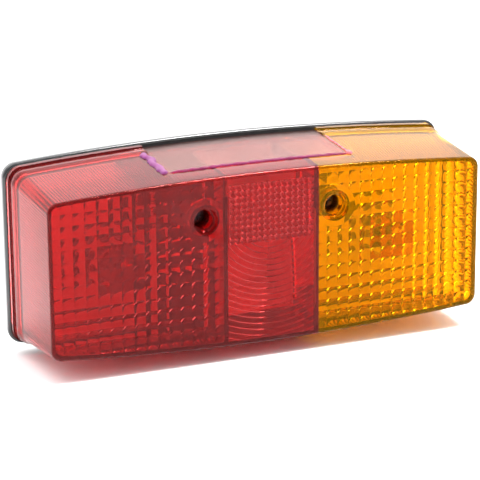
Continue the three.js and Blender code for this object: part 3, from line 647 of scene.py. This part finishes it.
def indicator_tray():
    """The indicator chamber's tray, with a notch for the locating finger."""
    notch = box(0, 30.1, 5, 25, -BEYOND, -37.9)
    bulb_hole = rod(BULB_X, BULB_Z, TRAY_BULB_HOLE, 5, 25)
    pillar_hole = rod(WELL_X, WELL_Z, TRAY_PILLAR_HOLE, 5, 25)
    tray = cut(shallow_tray(INDICATOR_TRAY_START, BASE["half_width"]), bulb_hole, pillar_hole, notch)
    return bevelled(tray, 0.25, 2)


def centre_tray():
    foot, top, front = CENTRE_TRAY_FOOT, CENTRE_TRAY_TOP_X, CENTRE_TRAY_FRONT
    low, high = CENTRE_TRAY_BOTTOM, CENTRE_TRAY_TOP
    parts = [box(-foot, foot, TRAY_FLOOR, front, low, low + TRAY_WALL)]
    for side in (-1, 1):
        outline = [(foot - TRAY_WALL, TRAY_FLOOR), (foot, TRAY_FLOOR), (top, front), (top - TRAY_WALL, front)]
        corners = [(side * x, d) for x, d in outline]
        parts.append(extruded(corners, lambda x, d, end: (x, -d, high if end else low)))
    return bevelled(joined(shallow_tray(-foot, foot), *parts), 0.25, 2)


def reflex_backing():
    half, low, high, wall = 21.6, 8, 37.5, 1.2
    plate = box(-half, half, 55, 56.2, low, high)
    inside = box(-half + wall, half - wall, 54, 60, low + wall, high - wall)
    rim = cut(box(-half, half, 55, 57.0, low, high), inside)
    return bevelled(joined(plate, rim), 0.2, 2)


# ---- Lampholders and bulbs ----


def pin_depth(index, two_filament):
    """Depth of a cap's pin; the second pin of a two-filament bulb sits further forward."""
    return PIN_DEPTH + (PIN_OFFSET if two_filament and index == 1 else 0)


def ring_sector(x, start, end, depth0, depth1):
    """A wedge round a lampholder between two angles in degrees."""
    steps, radius = 8, 14
    corners = [(x, BULB_Z)]
    for i in range(steps + 1):
        angle = math.radians(start + (end - start) * i / steps)
        corners.append((x + radius * math.cos(angle), BULB_Z + radius * math.sin(angle)))
    return extruded(corners, lambda px, pz, end_at: (px, -(depth1 if end_at else depth0), pz))


def holder_sleeve(x, two_filament):
    """The holder's tube, with an L-shaped slot for each of the bulb's two pins."""
    profile = [(7.9, SLEEVE_DEPTH), (11, SLEEVE_DEPTH), (11, 4.1), (8.9, 4.1), (8.5, 4.4), (8.4, 5)]
    profile += [(8.4, 18.9), (8.6, 19.3), (7.9, 19.3), (7.9, SLEEVE_DEPTH)]
    sleeve = turned(profile, 96, x, BULB_Z)
    spread = math.degrees(1.5 / 7.5)
    for index in (0, 1):
        locked = 180 * index
        back = pin_depth(index, two_filament) - SLOT_HALF
        free = locked + TWIST
        sideways = ring_sector(x, locked - spread, free + spread, back, back + 2 * SLOT_HALF)
        way_out = ring_sector(x, free - spread, free + spread, back, 21)
        slot = cut(joined(sideways, way_out), rod(x, BULB_Z, 6.9, 0, 40))
        sleeve = cut(sleeve, slot)
    return sleeve


def contact_spring(x):
    profile = [(0, 4.9), (3.2, 4.9), (3.2, 5.2), (2.0, 5.4), (1.2, 5.8), (0.7, 5.9), (0, 5.9)]
    return turned(profile, 48, x, BULB_Z)


def solder_tip(x):
    profile = [(0, 6.2), (0.9, 6.22), (1.7, 6.45), (2.3, 6.9), (2.4, 7.3), (2.4, 7.5), (0, 7.5)]
    return turned(profile, 48, x, BULB_Z)


def bulb_cap(x, two_filament):
    profile = [(0, 7.8), (6.4, 7.8), (7.1, 8.1), (7.5, 8.9), (7.5, 21.4), (7.35, 21.8), (7.5, 22.2)]
    profile += [(7.5, 24), (7.1, 24), (7.1, 9), (0, 9)]
    cap = turned(profile, 72, x, BULB_Z)
    for index, side in ((0, 1), (1, -1)):
        pin = [(0, 7.3 * side), (1, 7.3 * side), (1, 8.6 * side), (0.7, 8.9 * side), (0, 8.9 * side)]
        pin = [(radius, x + along) for radius, along in pin]
        cap = joined(cap, turned_along_x(pin, pin_depth(index, two_filament), BULB_Z, 24))
    return cap


def bulb_glass(x):
    def surface(shrink):
        """Half the outline of the globe and its neck, from the front point back."""
        radius = GLOBE_RADIUS - shrink
        points = []
        for i in range(29):
            angle = math.radians(125 * i / 28)
            points.append((radius * math.sin(angle), GLOBE_DEPTH + radius * math.cos(angle)))
        neck = [(8.6, 30.4), (7.3, 27.6), (6.75, 25.2), (6.7, 19)]
        return points + [(r - shrink, depth) for r, depth in neck]

    outer, inner = surface(0), surface(GLASS_THICKNESS)[::-1]
    outer[0] = (0, GLOBE_DEPTH + GLOBE_RADIUS)
    inner[-1] = (0, GLOBE_DEPTH + GLOBE_RADIUS - GLASS_THICKNESS)
    return turned(outer + inner, 96, x, BULB_Z)


def coil_profile(half, radius, pitch=0.36):
    """A wound wire seen from the side: a row of small ridges, as (radius, x)."""
    count = int(2 * half / pitch)
    row = [(0, -half)]
    for i in range(count):
        along = -half + 2 * half * i / count
        row += [(radius * 0.8, along), (radius, along + half / count)]
    return row + [(radius * 0.8, half), (0, half)]


def bulb_filament(x, two_filament):
    stem = [(0, 14), (2.6, 14), (2.4, 18), (1.9, 23.9), (1.4, 24.4), (0, 24.4)]
    body = turned(stem, 32, x, BULB_Z)
    for row, depth in enumerate([36, 32] if two_filament else [36]):
        half = 4.5 - row
        z = BULB_Z + (1.4 - 2.8 * row if two_filament else 0)
        for side in (-1, 1):
            x0, x1 = sorted((x, x + side * half))
            foot = box(x0, x1, 23.6, 24.3, z - 0.35, z + 0.35)
            post = rod(x + side * half, z, 0.3, 23.6, depth + 0.2, 12)
            body = joined(body, foot, post)
        coil = [(radius, x + along) for radius, along in coil_profile(half, 0.8)]
        body = joined(body, turned_along_x(coil, depth, z, 16))
    return body


# ---- Festoon lamp ----


def festoon_glass():
    end_radius, swell, steps = 3.3, 1.7, 8
    outer = [(end_radius, -13.4), (end_radius, -12)]
    for i in range(1, steps + 1):
        share = 0.5 - 0.5 * math.cos(math.pi * i / steps)
        outer.append((end_radius + swell * share, -12 + 3.4 * i / steps))
    outer += [(radius, -along) for radius, along in outer[::-1]]
    inner = [(radius - 0.6, along) for radius, along in outer[::-1]]
    return turned_along_x(outer + inner + outer[:1], FESTOON_DEPTH, FESTOON_Z)


def festoon_cap(side):
    profile = [(0, 18), (0.9, 18), (1.4, 17.8), (1.7, 17.3), (3.5, 16), (3.9, 15.3), (3.9, 11.9), (3.8, 11.6)]
    profile += [(3.6, 11.6), (3.6, 15.4), (0, 15.4)]
    return turned_along_x([(r, side * x) for r, x in profile], FESTOON_DEPTH, FESTOON_Z)


def festoon_clip(side):
    x0 = side * CLIP_X - CLIP_WIDTH / 2
    x1 = x0 + CLIP_WIDTH
    whole = box(x0, x1, 9.1, 22, FESTOON_Z - 5, FESTOON_Z + 5)
    space = box(x0 - 1, x1 + 1, 9.7, 23, FESTOON_Z - 4.4, FESTOON_Z + 4.4)
    return bevelled(cut(whole, space), 0.2)


# ---- Fastenings and wiring ----


def lens_screw(side):
    profile = [(0, 22), (0.8, 22.6), (2.2, 25.2), (2.4, 26), (2.4, 45.9), (4.2, 45.9)]
    profile += [(4.2, 47.2), (3.9, 47.9), (3.1, 48.35), (1.8, 48.6), (0, 48.6)]
    x = side * WELL_X
    across = box(x - 2.3, x + 2.3, 47.1, 50, WELL_Z - 0.5, WELL_Z + 0.5)
    upright = box(x - 0.5, x + 0.5, 47.1, 50, WELL_Z - 2.3, WELL_Z + 2.3)
    return cut(turned(profile, 64, x, WELL_Z), across, upright)


def ring_washer(x):
    profile = [(2.75, 44.5), (4.15, 44.5), (4.3, 44.65), (4.3, 45.45), (4.15, 45.6)]
    profile += [(2.75, 45.6), (2.75, 44.5)]
    return turned(profile, 64, x, WELL_Z)


def threaded(x, z, depth0, depth1, radius, pitch, groove):
    """A screw thread from front to back with a true helix, tapering off at its free end."""
    around, per_turn = 40, 8
    rows = int((depth1 - depth0) / pitch * per_turn)
    points = []
    for i in range(rows + 1):
        depth = depth0 + (depth1 - depth0) * i / rows
        point = min(1, 0.75 + (depth - depth0) / 3)
        for k in range(around):
            turn = (depth / pitch + k / around) % 1
            r = (radius - groove * abs(2 * turn - 1)) * point
            angle = 2 * math.pi * k / around
            points.append((x + r * math.cos(angle), -depth, z + r * math.sin(angle)))
    return outward(solid(points, tube_faces(rows, around)))


def mounting_stud(side):
    x = side * STUD_X
    hexagon = rod(x, 0, 5 / math.cos(math.pi / 6), 3.3, 7.3, 6)
    dome = turned([(0, 3), (6, 3), (6, 6.6), (4.9, 7.3), (0, 7.3)], 64, x, 0)
    return joined(shared(hexagon, dome), threaded(x, 0, -20, 3.9, 2.95, 1.0, 0.5))


def grommet_body():
    """The rubber grommet: a ribbed sleeve behind the housing and a flange that grips its floor."""
    profile = [(3.4, -9.8), (3.6, -10), (4.2, -10), (4.6, -9.6), (4.9, -7), (4.6, -6.8), (5.1, -4.4)]
    profile += [(4.8, -4.2), (5.4, -1.6), (5.8, -0.3), (6.4, 0), (6.4, 3.3), (8.2, 3.3), (8.5, 3.6)]
    profile += [(8.5, 4.4), (8.2, 4.7), (3.6, 4.7), (3.4, 4.5), (3.4, -9.8)]
    return turned(profile, 72, 0, GROMMET_Z)


def terminal_place(index):
    middle = (TERMINAL_BOTTOM + TERMINAL_TOP) / 2
    return (TERMINAL_LEFT + TERMINAL_RIGHT) / 2, middle + (index - 1.5) * TERMINAL_PITCH


def terminal_body():
    body = bevelled(box(TERMINAL_LEFT, TERMINAL_RIGHT, 3.3, 17.3, TERMINAL_BOTTOM, TERMINAL_TOP), 0.5)
    for index in range(4):
        x, z = terminal_place(index)
        body = cut(body, rod(x, z, 2.3, 14.3, 18.3, 32))
        entry = box(TERMINAL_LEFT - 1, TERMINAL_LEFT + 4, 6, 10, z - 1.6, z + 1.6)
        body = cut(body, entry)
    for index in range(3):
        z = terminal_place(index)[1] + TERMINAL_PITCH / 2
        body = cut(body, box(TERMINAL_LEFT - 1, TERMINAL_RIGHT + 1, 15.8, 18, z - 0.35, z + 0.35))
    return body


def terminal_screw(index):
    x, z = terminal_place(index)
    slot = box(x - 2, x + 2, 15.9, 17.5, z - 0.3, z + 0.3)
    return cut(rod(x, z, 1.9, 14.6, 16.8, 32, 0.2), slot)


def earth_bar():
    low, high = EARTH_Z
    bar = box(-EARTH_HALF + 0.3, EARTH_HALF - 0.3, 3.3, 3.9, low, high)
    return bevelled(bar, 0.12, 2)


# ---- Materials ----


def node_material(name):
    made = bpy.data.materials.new(name)
    made.use_nodes = True
    tree = made.node_tree
    tree.nodes.clear()
    output = tree.nodes.new("ShaderNodeOutputMaterial")
    shader = tree.nodes.new("ShaderNodeBsdfPrincipled")
    tree.links.new(shader.outputs[0], output.inputs["Surface"])
    return made, tree, shader


def surface_noise(tree, scale, detail=4):
    place = tree.nodes.new("ShaderNodeTexCoord")
    pattern = tree.nodes.new("ShaderNodeTexNoise")
    pattern.inputs["Scale"].default_value = scale
    pattern.inputs["Detail"].default_value = detail
    tree.links.new(place.outputs["Object"], pattern.inputs["Vector"])
    return pattern.outputs["Fac"]


def ranged(tree, value, low, high):
    spread = tree.nodes.new("ShaderNodeMapRange")
    spread.inputs["To Min"].default_value = low
    spread.inputs["To Max"].default_value = high
    tree.links.new(value, spread.inputs["Value"])
    return spread.outputs["Result"]


def colour_between(tree, value, first, second):
    ramp = tree.nodes.new("ShaderNodeValToRGB")
    ramp.color_ramp.elements[0].position = 0.3
    ramp.color_ramp.elements[1].position = 0.7
    ramp.color_ramp.elements[0].color = (*first, 1)
    ramp.color_ramp.elements[1].color = (*second, 1)
    tree.links.new(value, ramp.inputs["Fac"])
    return ramp.outputs["Color"]


def bump(tree, shader, value, strength, distance):
    node = tree.nodes.new("ShaderNodeBump")
    node.inputs["Strength"].default_value = strength
    node.inputs["Distance"].default_value = distance
    tree.links.new(value, node.inputs["Height"])
    tree.links.new(node.outputs["Normal"], shader.inputs["Normal"])


def opaque(name, first, second, rough, grain=900, metallic=0.0, bump_height=0.00002, strength=0.3):
    """A solid finish: two close colours over a fine grain, with a roughness range and a small relief."""
    made, tree, shader = node_material(name)
    tone = surface_noise(tree, grain)
    tree.links.new(colour_between(tree, tone, first, second), shader.inputs["Base Color"])
    tree.links.new(ranged(tree, surface_noise(tree, grain * 0.35), *rough), shader.inputs["Roughness"])
    shader.inputs["Metallic"].default_value = metallic
    bump(tree, shader, tone, strength, bump_height)
    return made


def principled(made):
    return next(node for node in made.node_tree.nodes if node.type == "BSDF_PRINCIPLED")


def glossed(made, ior, coat):
    """The finish with a stronger surface reflection and a clear coat."""
    shader = principled(made)
    shader.inputs["IOR"].default_value = ior
    shader.inputs["Coat Weight"].default_value = coat
    shader.inputs["Coat Roughness"].default_value = 0.08
    return made


def clear_plastic(name, first, second, rough, grain=60, ior=1.49, haze=0.0, glint=(1, 1, 1)):
    """A refracting plastic: haze is the share that scatters, glint tints what it reflects head-on."""
    made, tree, shader = node_material(name)
    tone = surface_noise(tree, grain, 2)
    tree.links.new(colour_between(tree, tone, first, second), shader.inputs["Base Color"])
    tree.links.new(ranged(tree, surface_noise(tree, grain * 3), *rough), shader.inputs["Roughness"])
    shader.inputs["Transmission Weight"].default_value = 1 - haze
    shader.inputs["IOR"].default_value = ior
    shader.inputs["Specular Tint"].default_value = (*glint, 1)
    bump(tree, shader, surface_noise(tree, grain * 2, 3), 0.08, 0.00002)
    return made


def painted_shade_backwards(made, first, last):
    """Paints shade into the base colour, towards a grey brown between two depths, the darker end at the back.
    """
    tree = made.node_tree
    shader = principled(made)
    colour = shader.inputs["Base Color"].links[0].from_socket
    place = tree.nodes.new("ShaderNodeTexCoord")
    split = tree.nodes.new("ShaderNodeSeparateXYZ")
    tree.links.new(place.outputs["Object"], split.inputs[0])
    share = ranged(tree, split.outputs["Y"], 0, 1)
    share.node.inputs["From Min"].default_value = -last
    share.node.inputs["From Max"].default_value = -first
    mix = tree.nodes.new("ShaderNodeMix")
    mix.data_type = "RGBA"
    colour_a, colour_b, mixed = mix.inputs[6], mix.inputs[7], mix.outputs[2]
    tree.links.new(share, mix.inputs[0])
    tree.links.new(colour, colour_a)
    colour_b.default_value = (0.12, 0.07, 0.065, 1)
    tree.links.new(mixed, shader.inputs["Base Color"])


# One look for each slot; three more follow for pieces that share a slot but not its look.
looks = {
    "housing_black": glossed(
        opaque(
            "housing_black", (0.012, 0.012, 0.013), (0.02, 0.02, 0.022), (0.14, 0.24), bump_height=0.00001
        ),
        ior=1.58,
        coat=0.5,
    ),
    "gasket_rubber": opaque("gasket_rubber", (0.008, 0.008, 0.008), (0.02, 0.02, 0.02), (0.6, 0.85), 500),
    "lens_red_plastic": clear_plastic(
        "lens_red_plastic",
        (0.78, 0.055, 0.055),
        (0.81, 0.062, 0.062),
        (0.012, 0.03),
        haze=0.05,
        glint=(0.7, 0.2, 0.2),
    ),
    "lens_amber_plastic": clear_plastic(
        "lens_amber_plastic",
        (1.0, 0.49, 0.0005),
        (1.0, 0.52, 0.001),
        (0.012, 0.03),
        haze=0.05,
        glint=(0.8, 0.4, 0.0),
    ),
    "window_clear_plastic": clear_plastic(
        "window_clear_plastic",
        (0.64, 0.33, 0.3),
        (0.7, 0.37, 0.34),
        (0.2, 0.3),
        ior=1.2,
        haze=0.15,
        glint=(0.3, 0.2, 0.2),
    ),
    "reflector_white": opaque(
        "reflector_white", (0.86, 0.86, 0.84), (0.9, 0.9, 0.89), (0.25, 0.4), 60, strength=0.02
    ),
    "screw_steel": opaque("screw_steel", (0.04, 0.04, 0.042), (0.07, 0.07, 0.075), (0.3, 0.5), 1500, 0.9),
    "zinc_steel": opaque("zinc_steel", (0.3, 0.31, 0.32), (0.42, 0.43, 0.44), (0.25, 0.42), 700, 1.0),
    "phenolic_brown": opaque("phenolic_brown", (0.1, 0.04, 0.018), (0.15, 0.065, 0.03), (0.45, 0.6), 1500),
    "contact_brass": opaque("contact_brass", (0.68, 0.45, 0.14), (0.78, 0.55, 0.22), (0.22, 0.4), 700, 1.0),
    "bulb_cap_metal": opaque(
        "bulb_cap_metal", (0.4, 0.385, 0.34), (0.5, 0.485, 0.44), (0.2, 0.38), 700, 1.0
    ),
    "solder_grey": opaque("solder_grey", (0.45, 0.45, 0.46), (0.6, 0.6, 0.6), (0.3, 0.5), 1200, 1.0),
    # painted shade: the clear bulb glass is tinted grey so that the bulb shows as a dark patch through the
    # lens; the festoon tube uses it too
    "bulb_glass_clear": clear_plastic(
        "bulb_glass_clear", (0.5, 0.5, 0.5), (0.54, 0.54, 0.54), (0.0, 0.01), 30, 1.45
    ),
    "bulb_glass_amber": clear_plastic(
        "bulb_glass_amber", (0.75, 0.33, 0.04), (0.78, 0.36, 0.05), (0.0, 0.01), 30, 1.45
    ),
    "filament_metal": opaque("filament_metal", (0.2, 0.2, 0.2), (0.3, 0.3, 0.3), (0.4, 0.6), 2000, 1.0),
    "weld_purple": clear_plastic(
        "weld_purple", (0.28, 0.065, 0.22), (0.36, 0.1, 0.3), (0.3, 0.45), 200, 1.3, 0.6, (0.4, 0.3, 0.4)
    ),
}
# painted shade: the window pane's colour grows darker towards its back
painted_shade_backwards(looks["window_clear_plastic"], WINDOW_SHADE_BACK * MM, WINDOW_SHADE_FRONT * MM)
dark_weld = clear_plastic("dark_weld", (0.2, 0.008, 0.07), (0.28, 0.015, 0.11), (0.25, 0.4), 200, 1.3, 0.6)
pink_weld = clear_plastic("pink_weld", (0.8, 0.2, 0.22), (0.88, 0.26, 0.3), (0.2, 0.35), 200, 1.3, 0.5)
backing_grey = opaque("backing_grey", (0.3, 0.3, 0.29), (0.34, 0.34, 0.33), (0.3, 0.45), 60, strength=0.02)

# ---- Build ----


def piece(body, name, owner, slot, *nodes, sharp=28, look=None):
    """Finishes a body and places it, in its slot's look unless another is given."""
    return placed(finished(body, name, sharp), owner, slot, look or looks[slot], *nodes)


def even_swell(along):
    return 0


def corner_blob(along):
    return 2.6 * math.exp(-(((along - 0.94) / 0.06) ** 2))


shell = lens_shell()
amber = copied(shell)
red = shared(shell, box(-200, COLOUR_SPLIT - COLOUR_GAP, 0, 100, -100, 100))
amber = shared(amber, box(COLOUR_SPLIT + COLOUR_GAP, 200, 0, 100, -100, 100))
piece(red, "red_lens", "lens", "lens_red_plastic", "lens_red")
piece(amber, "amber_lens", "lens", "lens_amber_plastic", "lens_amber")
piece(window_pane(), "number_plate_window", "lens", "window_clear_plastic", "plate_window")
left_bead = weld_run((-50.4, 16), (-50.6, 47), 4.2, even_swell, 3)
front_bead = weld_run((-47.5, 46.3), (47.5, 46.3), 1.9, even_swell, 7)
right_bead = weld_run((48.9, 16), (49.2, 47), 1.2, corner_blob, 11)
piece(left_bead, "left_weld", "lens", "weld_purple", "weld_bead_left")
piece(front_bead, "front_weld", "lens", "weld_purple", "weld_bead_front", look=dark_weld)
piece(right_bead, "right_weld", "lens", "weld_purple", "weld_bead_right", look=pink_weld)
piece(reflex_backing(), "reflex_backing_box", "lens", "reflector_white", "reflex_backing", look=backing_grey)

piece(housing_body(), "housing", "housing", "housing_black", "base_housing")
piece(squeezed_gasket(), "gasket", "housing", "gasket_rubber", "lens_gasket")
piece(stop_tray(), "stop_reflector", "housing", "reflector_white", "reflector_stop")
piece(indicator_tray(), "indicator_reflector", "housing", "reflector_white", "reflector_indicator")
piece(centre_tray(), "centre_reflector", "housing", "reflector_white", "reflector_centre")
piece(grommet_body(), "grommet", "housing", "gasket_rubber", "cable_grommet")
piece(terminal_body(), "terminals", "housing", "housing_black", "terminal_block")
piece(earth_bar(), "earth_bar", "housing", "contact_brass", "earth_strip")
for index in range(4):
    name = f"terminal_screw_{index + 1}"
    piece(terminal_screw(index), "fine_" + name, "housing", "zinc_steel", name)

for name, side, two_filament in (("stop", -1, True), ("indicator", 1, False)):
    x = side * BULB_X
    glass = "bulb_glass_clear" if two_filament else "bulb_glass_amber"
    owner = name + "_bulb"
    piece(holder_sleeve(x, two_filament), name + "_sleeve", "housing", "zinc_steel", name + "_holder_sleeve")
    base_disc = rod(x, BULB_Z, 7, SLEEVE_DEPTH, 4.6, 48, 0.2)
    piece(base_disc, name + "_insulator", "housing", "phenolic_brown", name + "_holder_insulator")
    piece(contact_spring(x), name + "_spring", "housing", "contact_brass", name + "_holder_contact")
    piece(bulb_cap(x, two_filament), name + "_cap", owner, "bulb_cap_metal", name + "_bulb_cap")
    piece(solder_tip(x), name + "_tip", owner, "solder_grey", name + "_bulb_contact")
    piece(bulb_glass(x), name + "_globe", owner, glass, name + "_bulb_glass")
    piece(bulb_filament(x, two_filament), name + "_coil", owner, "filament_metal", name + "_bulb_filament")

piece(festoon_glass(), "festoon_tube", "festoon_lamp", "bulb_glass_clear", "festoon_glass")
festoon_coil = turned_along_x(coil_profile(13, 0.4), FESTOON_DEPTH, FESTOON_Z, 16)
piece(festoon_coil, "festoon_coil", "festoon_lamp", "filament_metal", "festoon_filament")
for name, side in (("left", -1), ("right", 1)):
    piece(festoon_cap(side), "festoon_end_" + name, "festoon_lamp", "bulb_cap_metal", "festoon_cap_" + name)
    piece(festoon_clip(side), "festoon_spring_" + name, "housing", "contact_brass", "festoon_clip_" + name)
    owner = "lens_screw_" + name
    piece(lens_screw(side), "fine_screw_" + name, owner, "screw_steel", "screw_" + name)
    washer = ring_washer(side * WELL_X)
    piece(washer, "fine_washer_" + name, owner, "gasket_rubber", "screw_washer_" + name)
    piece(mounting_stud(side), "fine_stud_" + name, "housing", "zinc_steel", "stud_" + name, sharp=50)

# ---- Studio ----


def studio():
    """A flat white floor, a world that is bright behind the light and dark before it, and two lamps."""
    half = FLOOR_HALF
    corners = [(x, y, FLOOR_Z) for x, y in ((-half, -half), (half, -half), (half, half), (-half, half))]
    floor = solid(corners, [(0, 1, 2, 3)], "studio_floor")
    floor.data.materials.append(opaque("studio_white", (0.93, 0.93, 0.93), (0.95, 0.95, 0.95), (0.8, 0.9), 5))

    world = bpy.data.worlds.new("studio")
    scene.world = world
    world.use_nodes = True
    tree = world.node_tree
    place = tree.nodes.new("ShaderNodeTexCoord")
    split = tree.nodes.new("ShaderNodeSeparateXYZ")
    tree.links.new(place.outputs["Generated"], split.inputs[0])
    behind = ranged(tree, split.outputs["Y"], WORLD_FRONT, WORLD_BACK)
    behind.node.inputs["From Min"].default_value = -1
    overhead = ranged(tree, split.outputs["Z"], 0, WORLD_TOP)
    level = tree.nodes.new("ShaderNodeMath")
    tree.links.new(behind, level.inputs[0])
    tree.links.new(overhead, level.inputs[1])
    tree.links.new(level.outputs[0], tree.nodes["Background"].inputs["Strength"])
    tree.nodes["Background"].inputs["Color"].default_value = (1, 1, 1, 1)

    for name, spot, size, power in LAMPS:
        lamp = bpy.data.lights.new(name, "AREA")
        lamp.size = size
        lamp.energy = power
        made = bpy.data.objects.new(name, lamp)
        scene.collection.objects.link(made)
        made.location = spot
        made.rotation_mode = "QUATERNION"
        made.rotation_quaternion = (-Vector(spot)).to_track_quat("-Z", "Y")


def camera():
    """The camera, which looks at the middle of the light but for a small shift aside and down."""
    azimuth, elevation, roll = (math.radians(a) for a in (CAMERA_AZIMUTH, CAMERA_ELEVATION, CAMERA_ROLL))
    level = math.cos(elevation)
    back = Vector((math.sin(azimuth) * level, -math.cos(azimuth) * level, math.sin(elevation)))
    right = (-back).cross(Vector((0, 0, 1))).normalized()
    up = right.cross(-back)
    rolled_right = math.cos(roll) * right + math.sin(roll) * up
    rolled_up = -math.sin(roll) * right + math.cos(roll) * up
    data = bpy.data.cameras.new("camera")
    data.sensor_width = SENSOR_WIDTH
    data.lens = FOCAL_LENGTH
    made = bpy.data.objects.new("camera", data)
    scene.collection.objects.link(made)
    spot = back * CAMERA_DISTANCE + right * CAMERA_ASIDE + up * CAMERA_ABOVE
    turn = Matrix(
        (
            (rolled_right.x, rolled_up.x, back.x),
            (rolled_right.y, rolled_up.y, back.y),
            (rolled_right.z, rolled_up.z, back.z),
        )
    )
    made.matrix_world = Matrix.Translation(spot) @ turn.to_4x4()
    scene.camera = made


studio()
camera()
scene.view_settings.view_transform = "Standard"
scene.cycles.max_bounces = 24  # so that light can cross the lens's many walls and facets
scene.cycles.transmission_bounces = 24
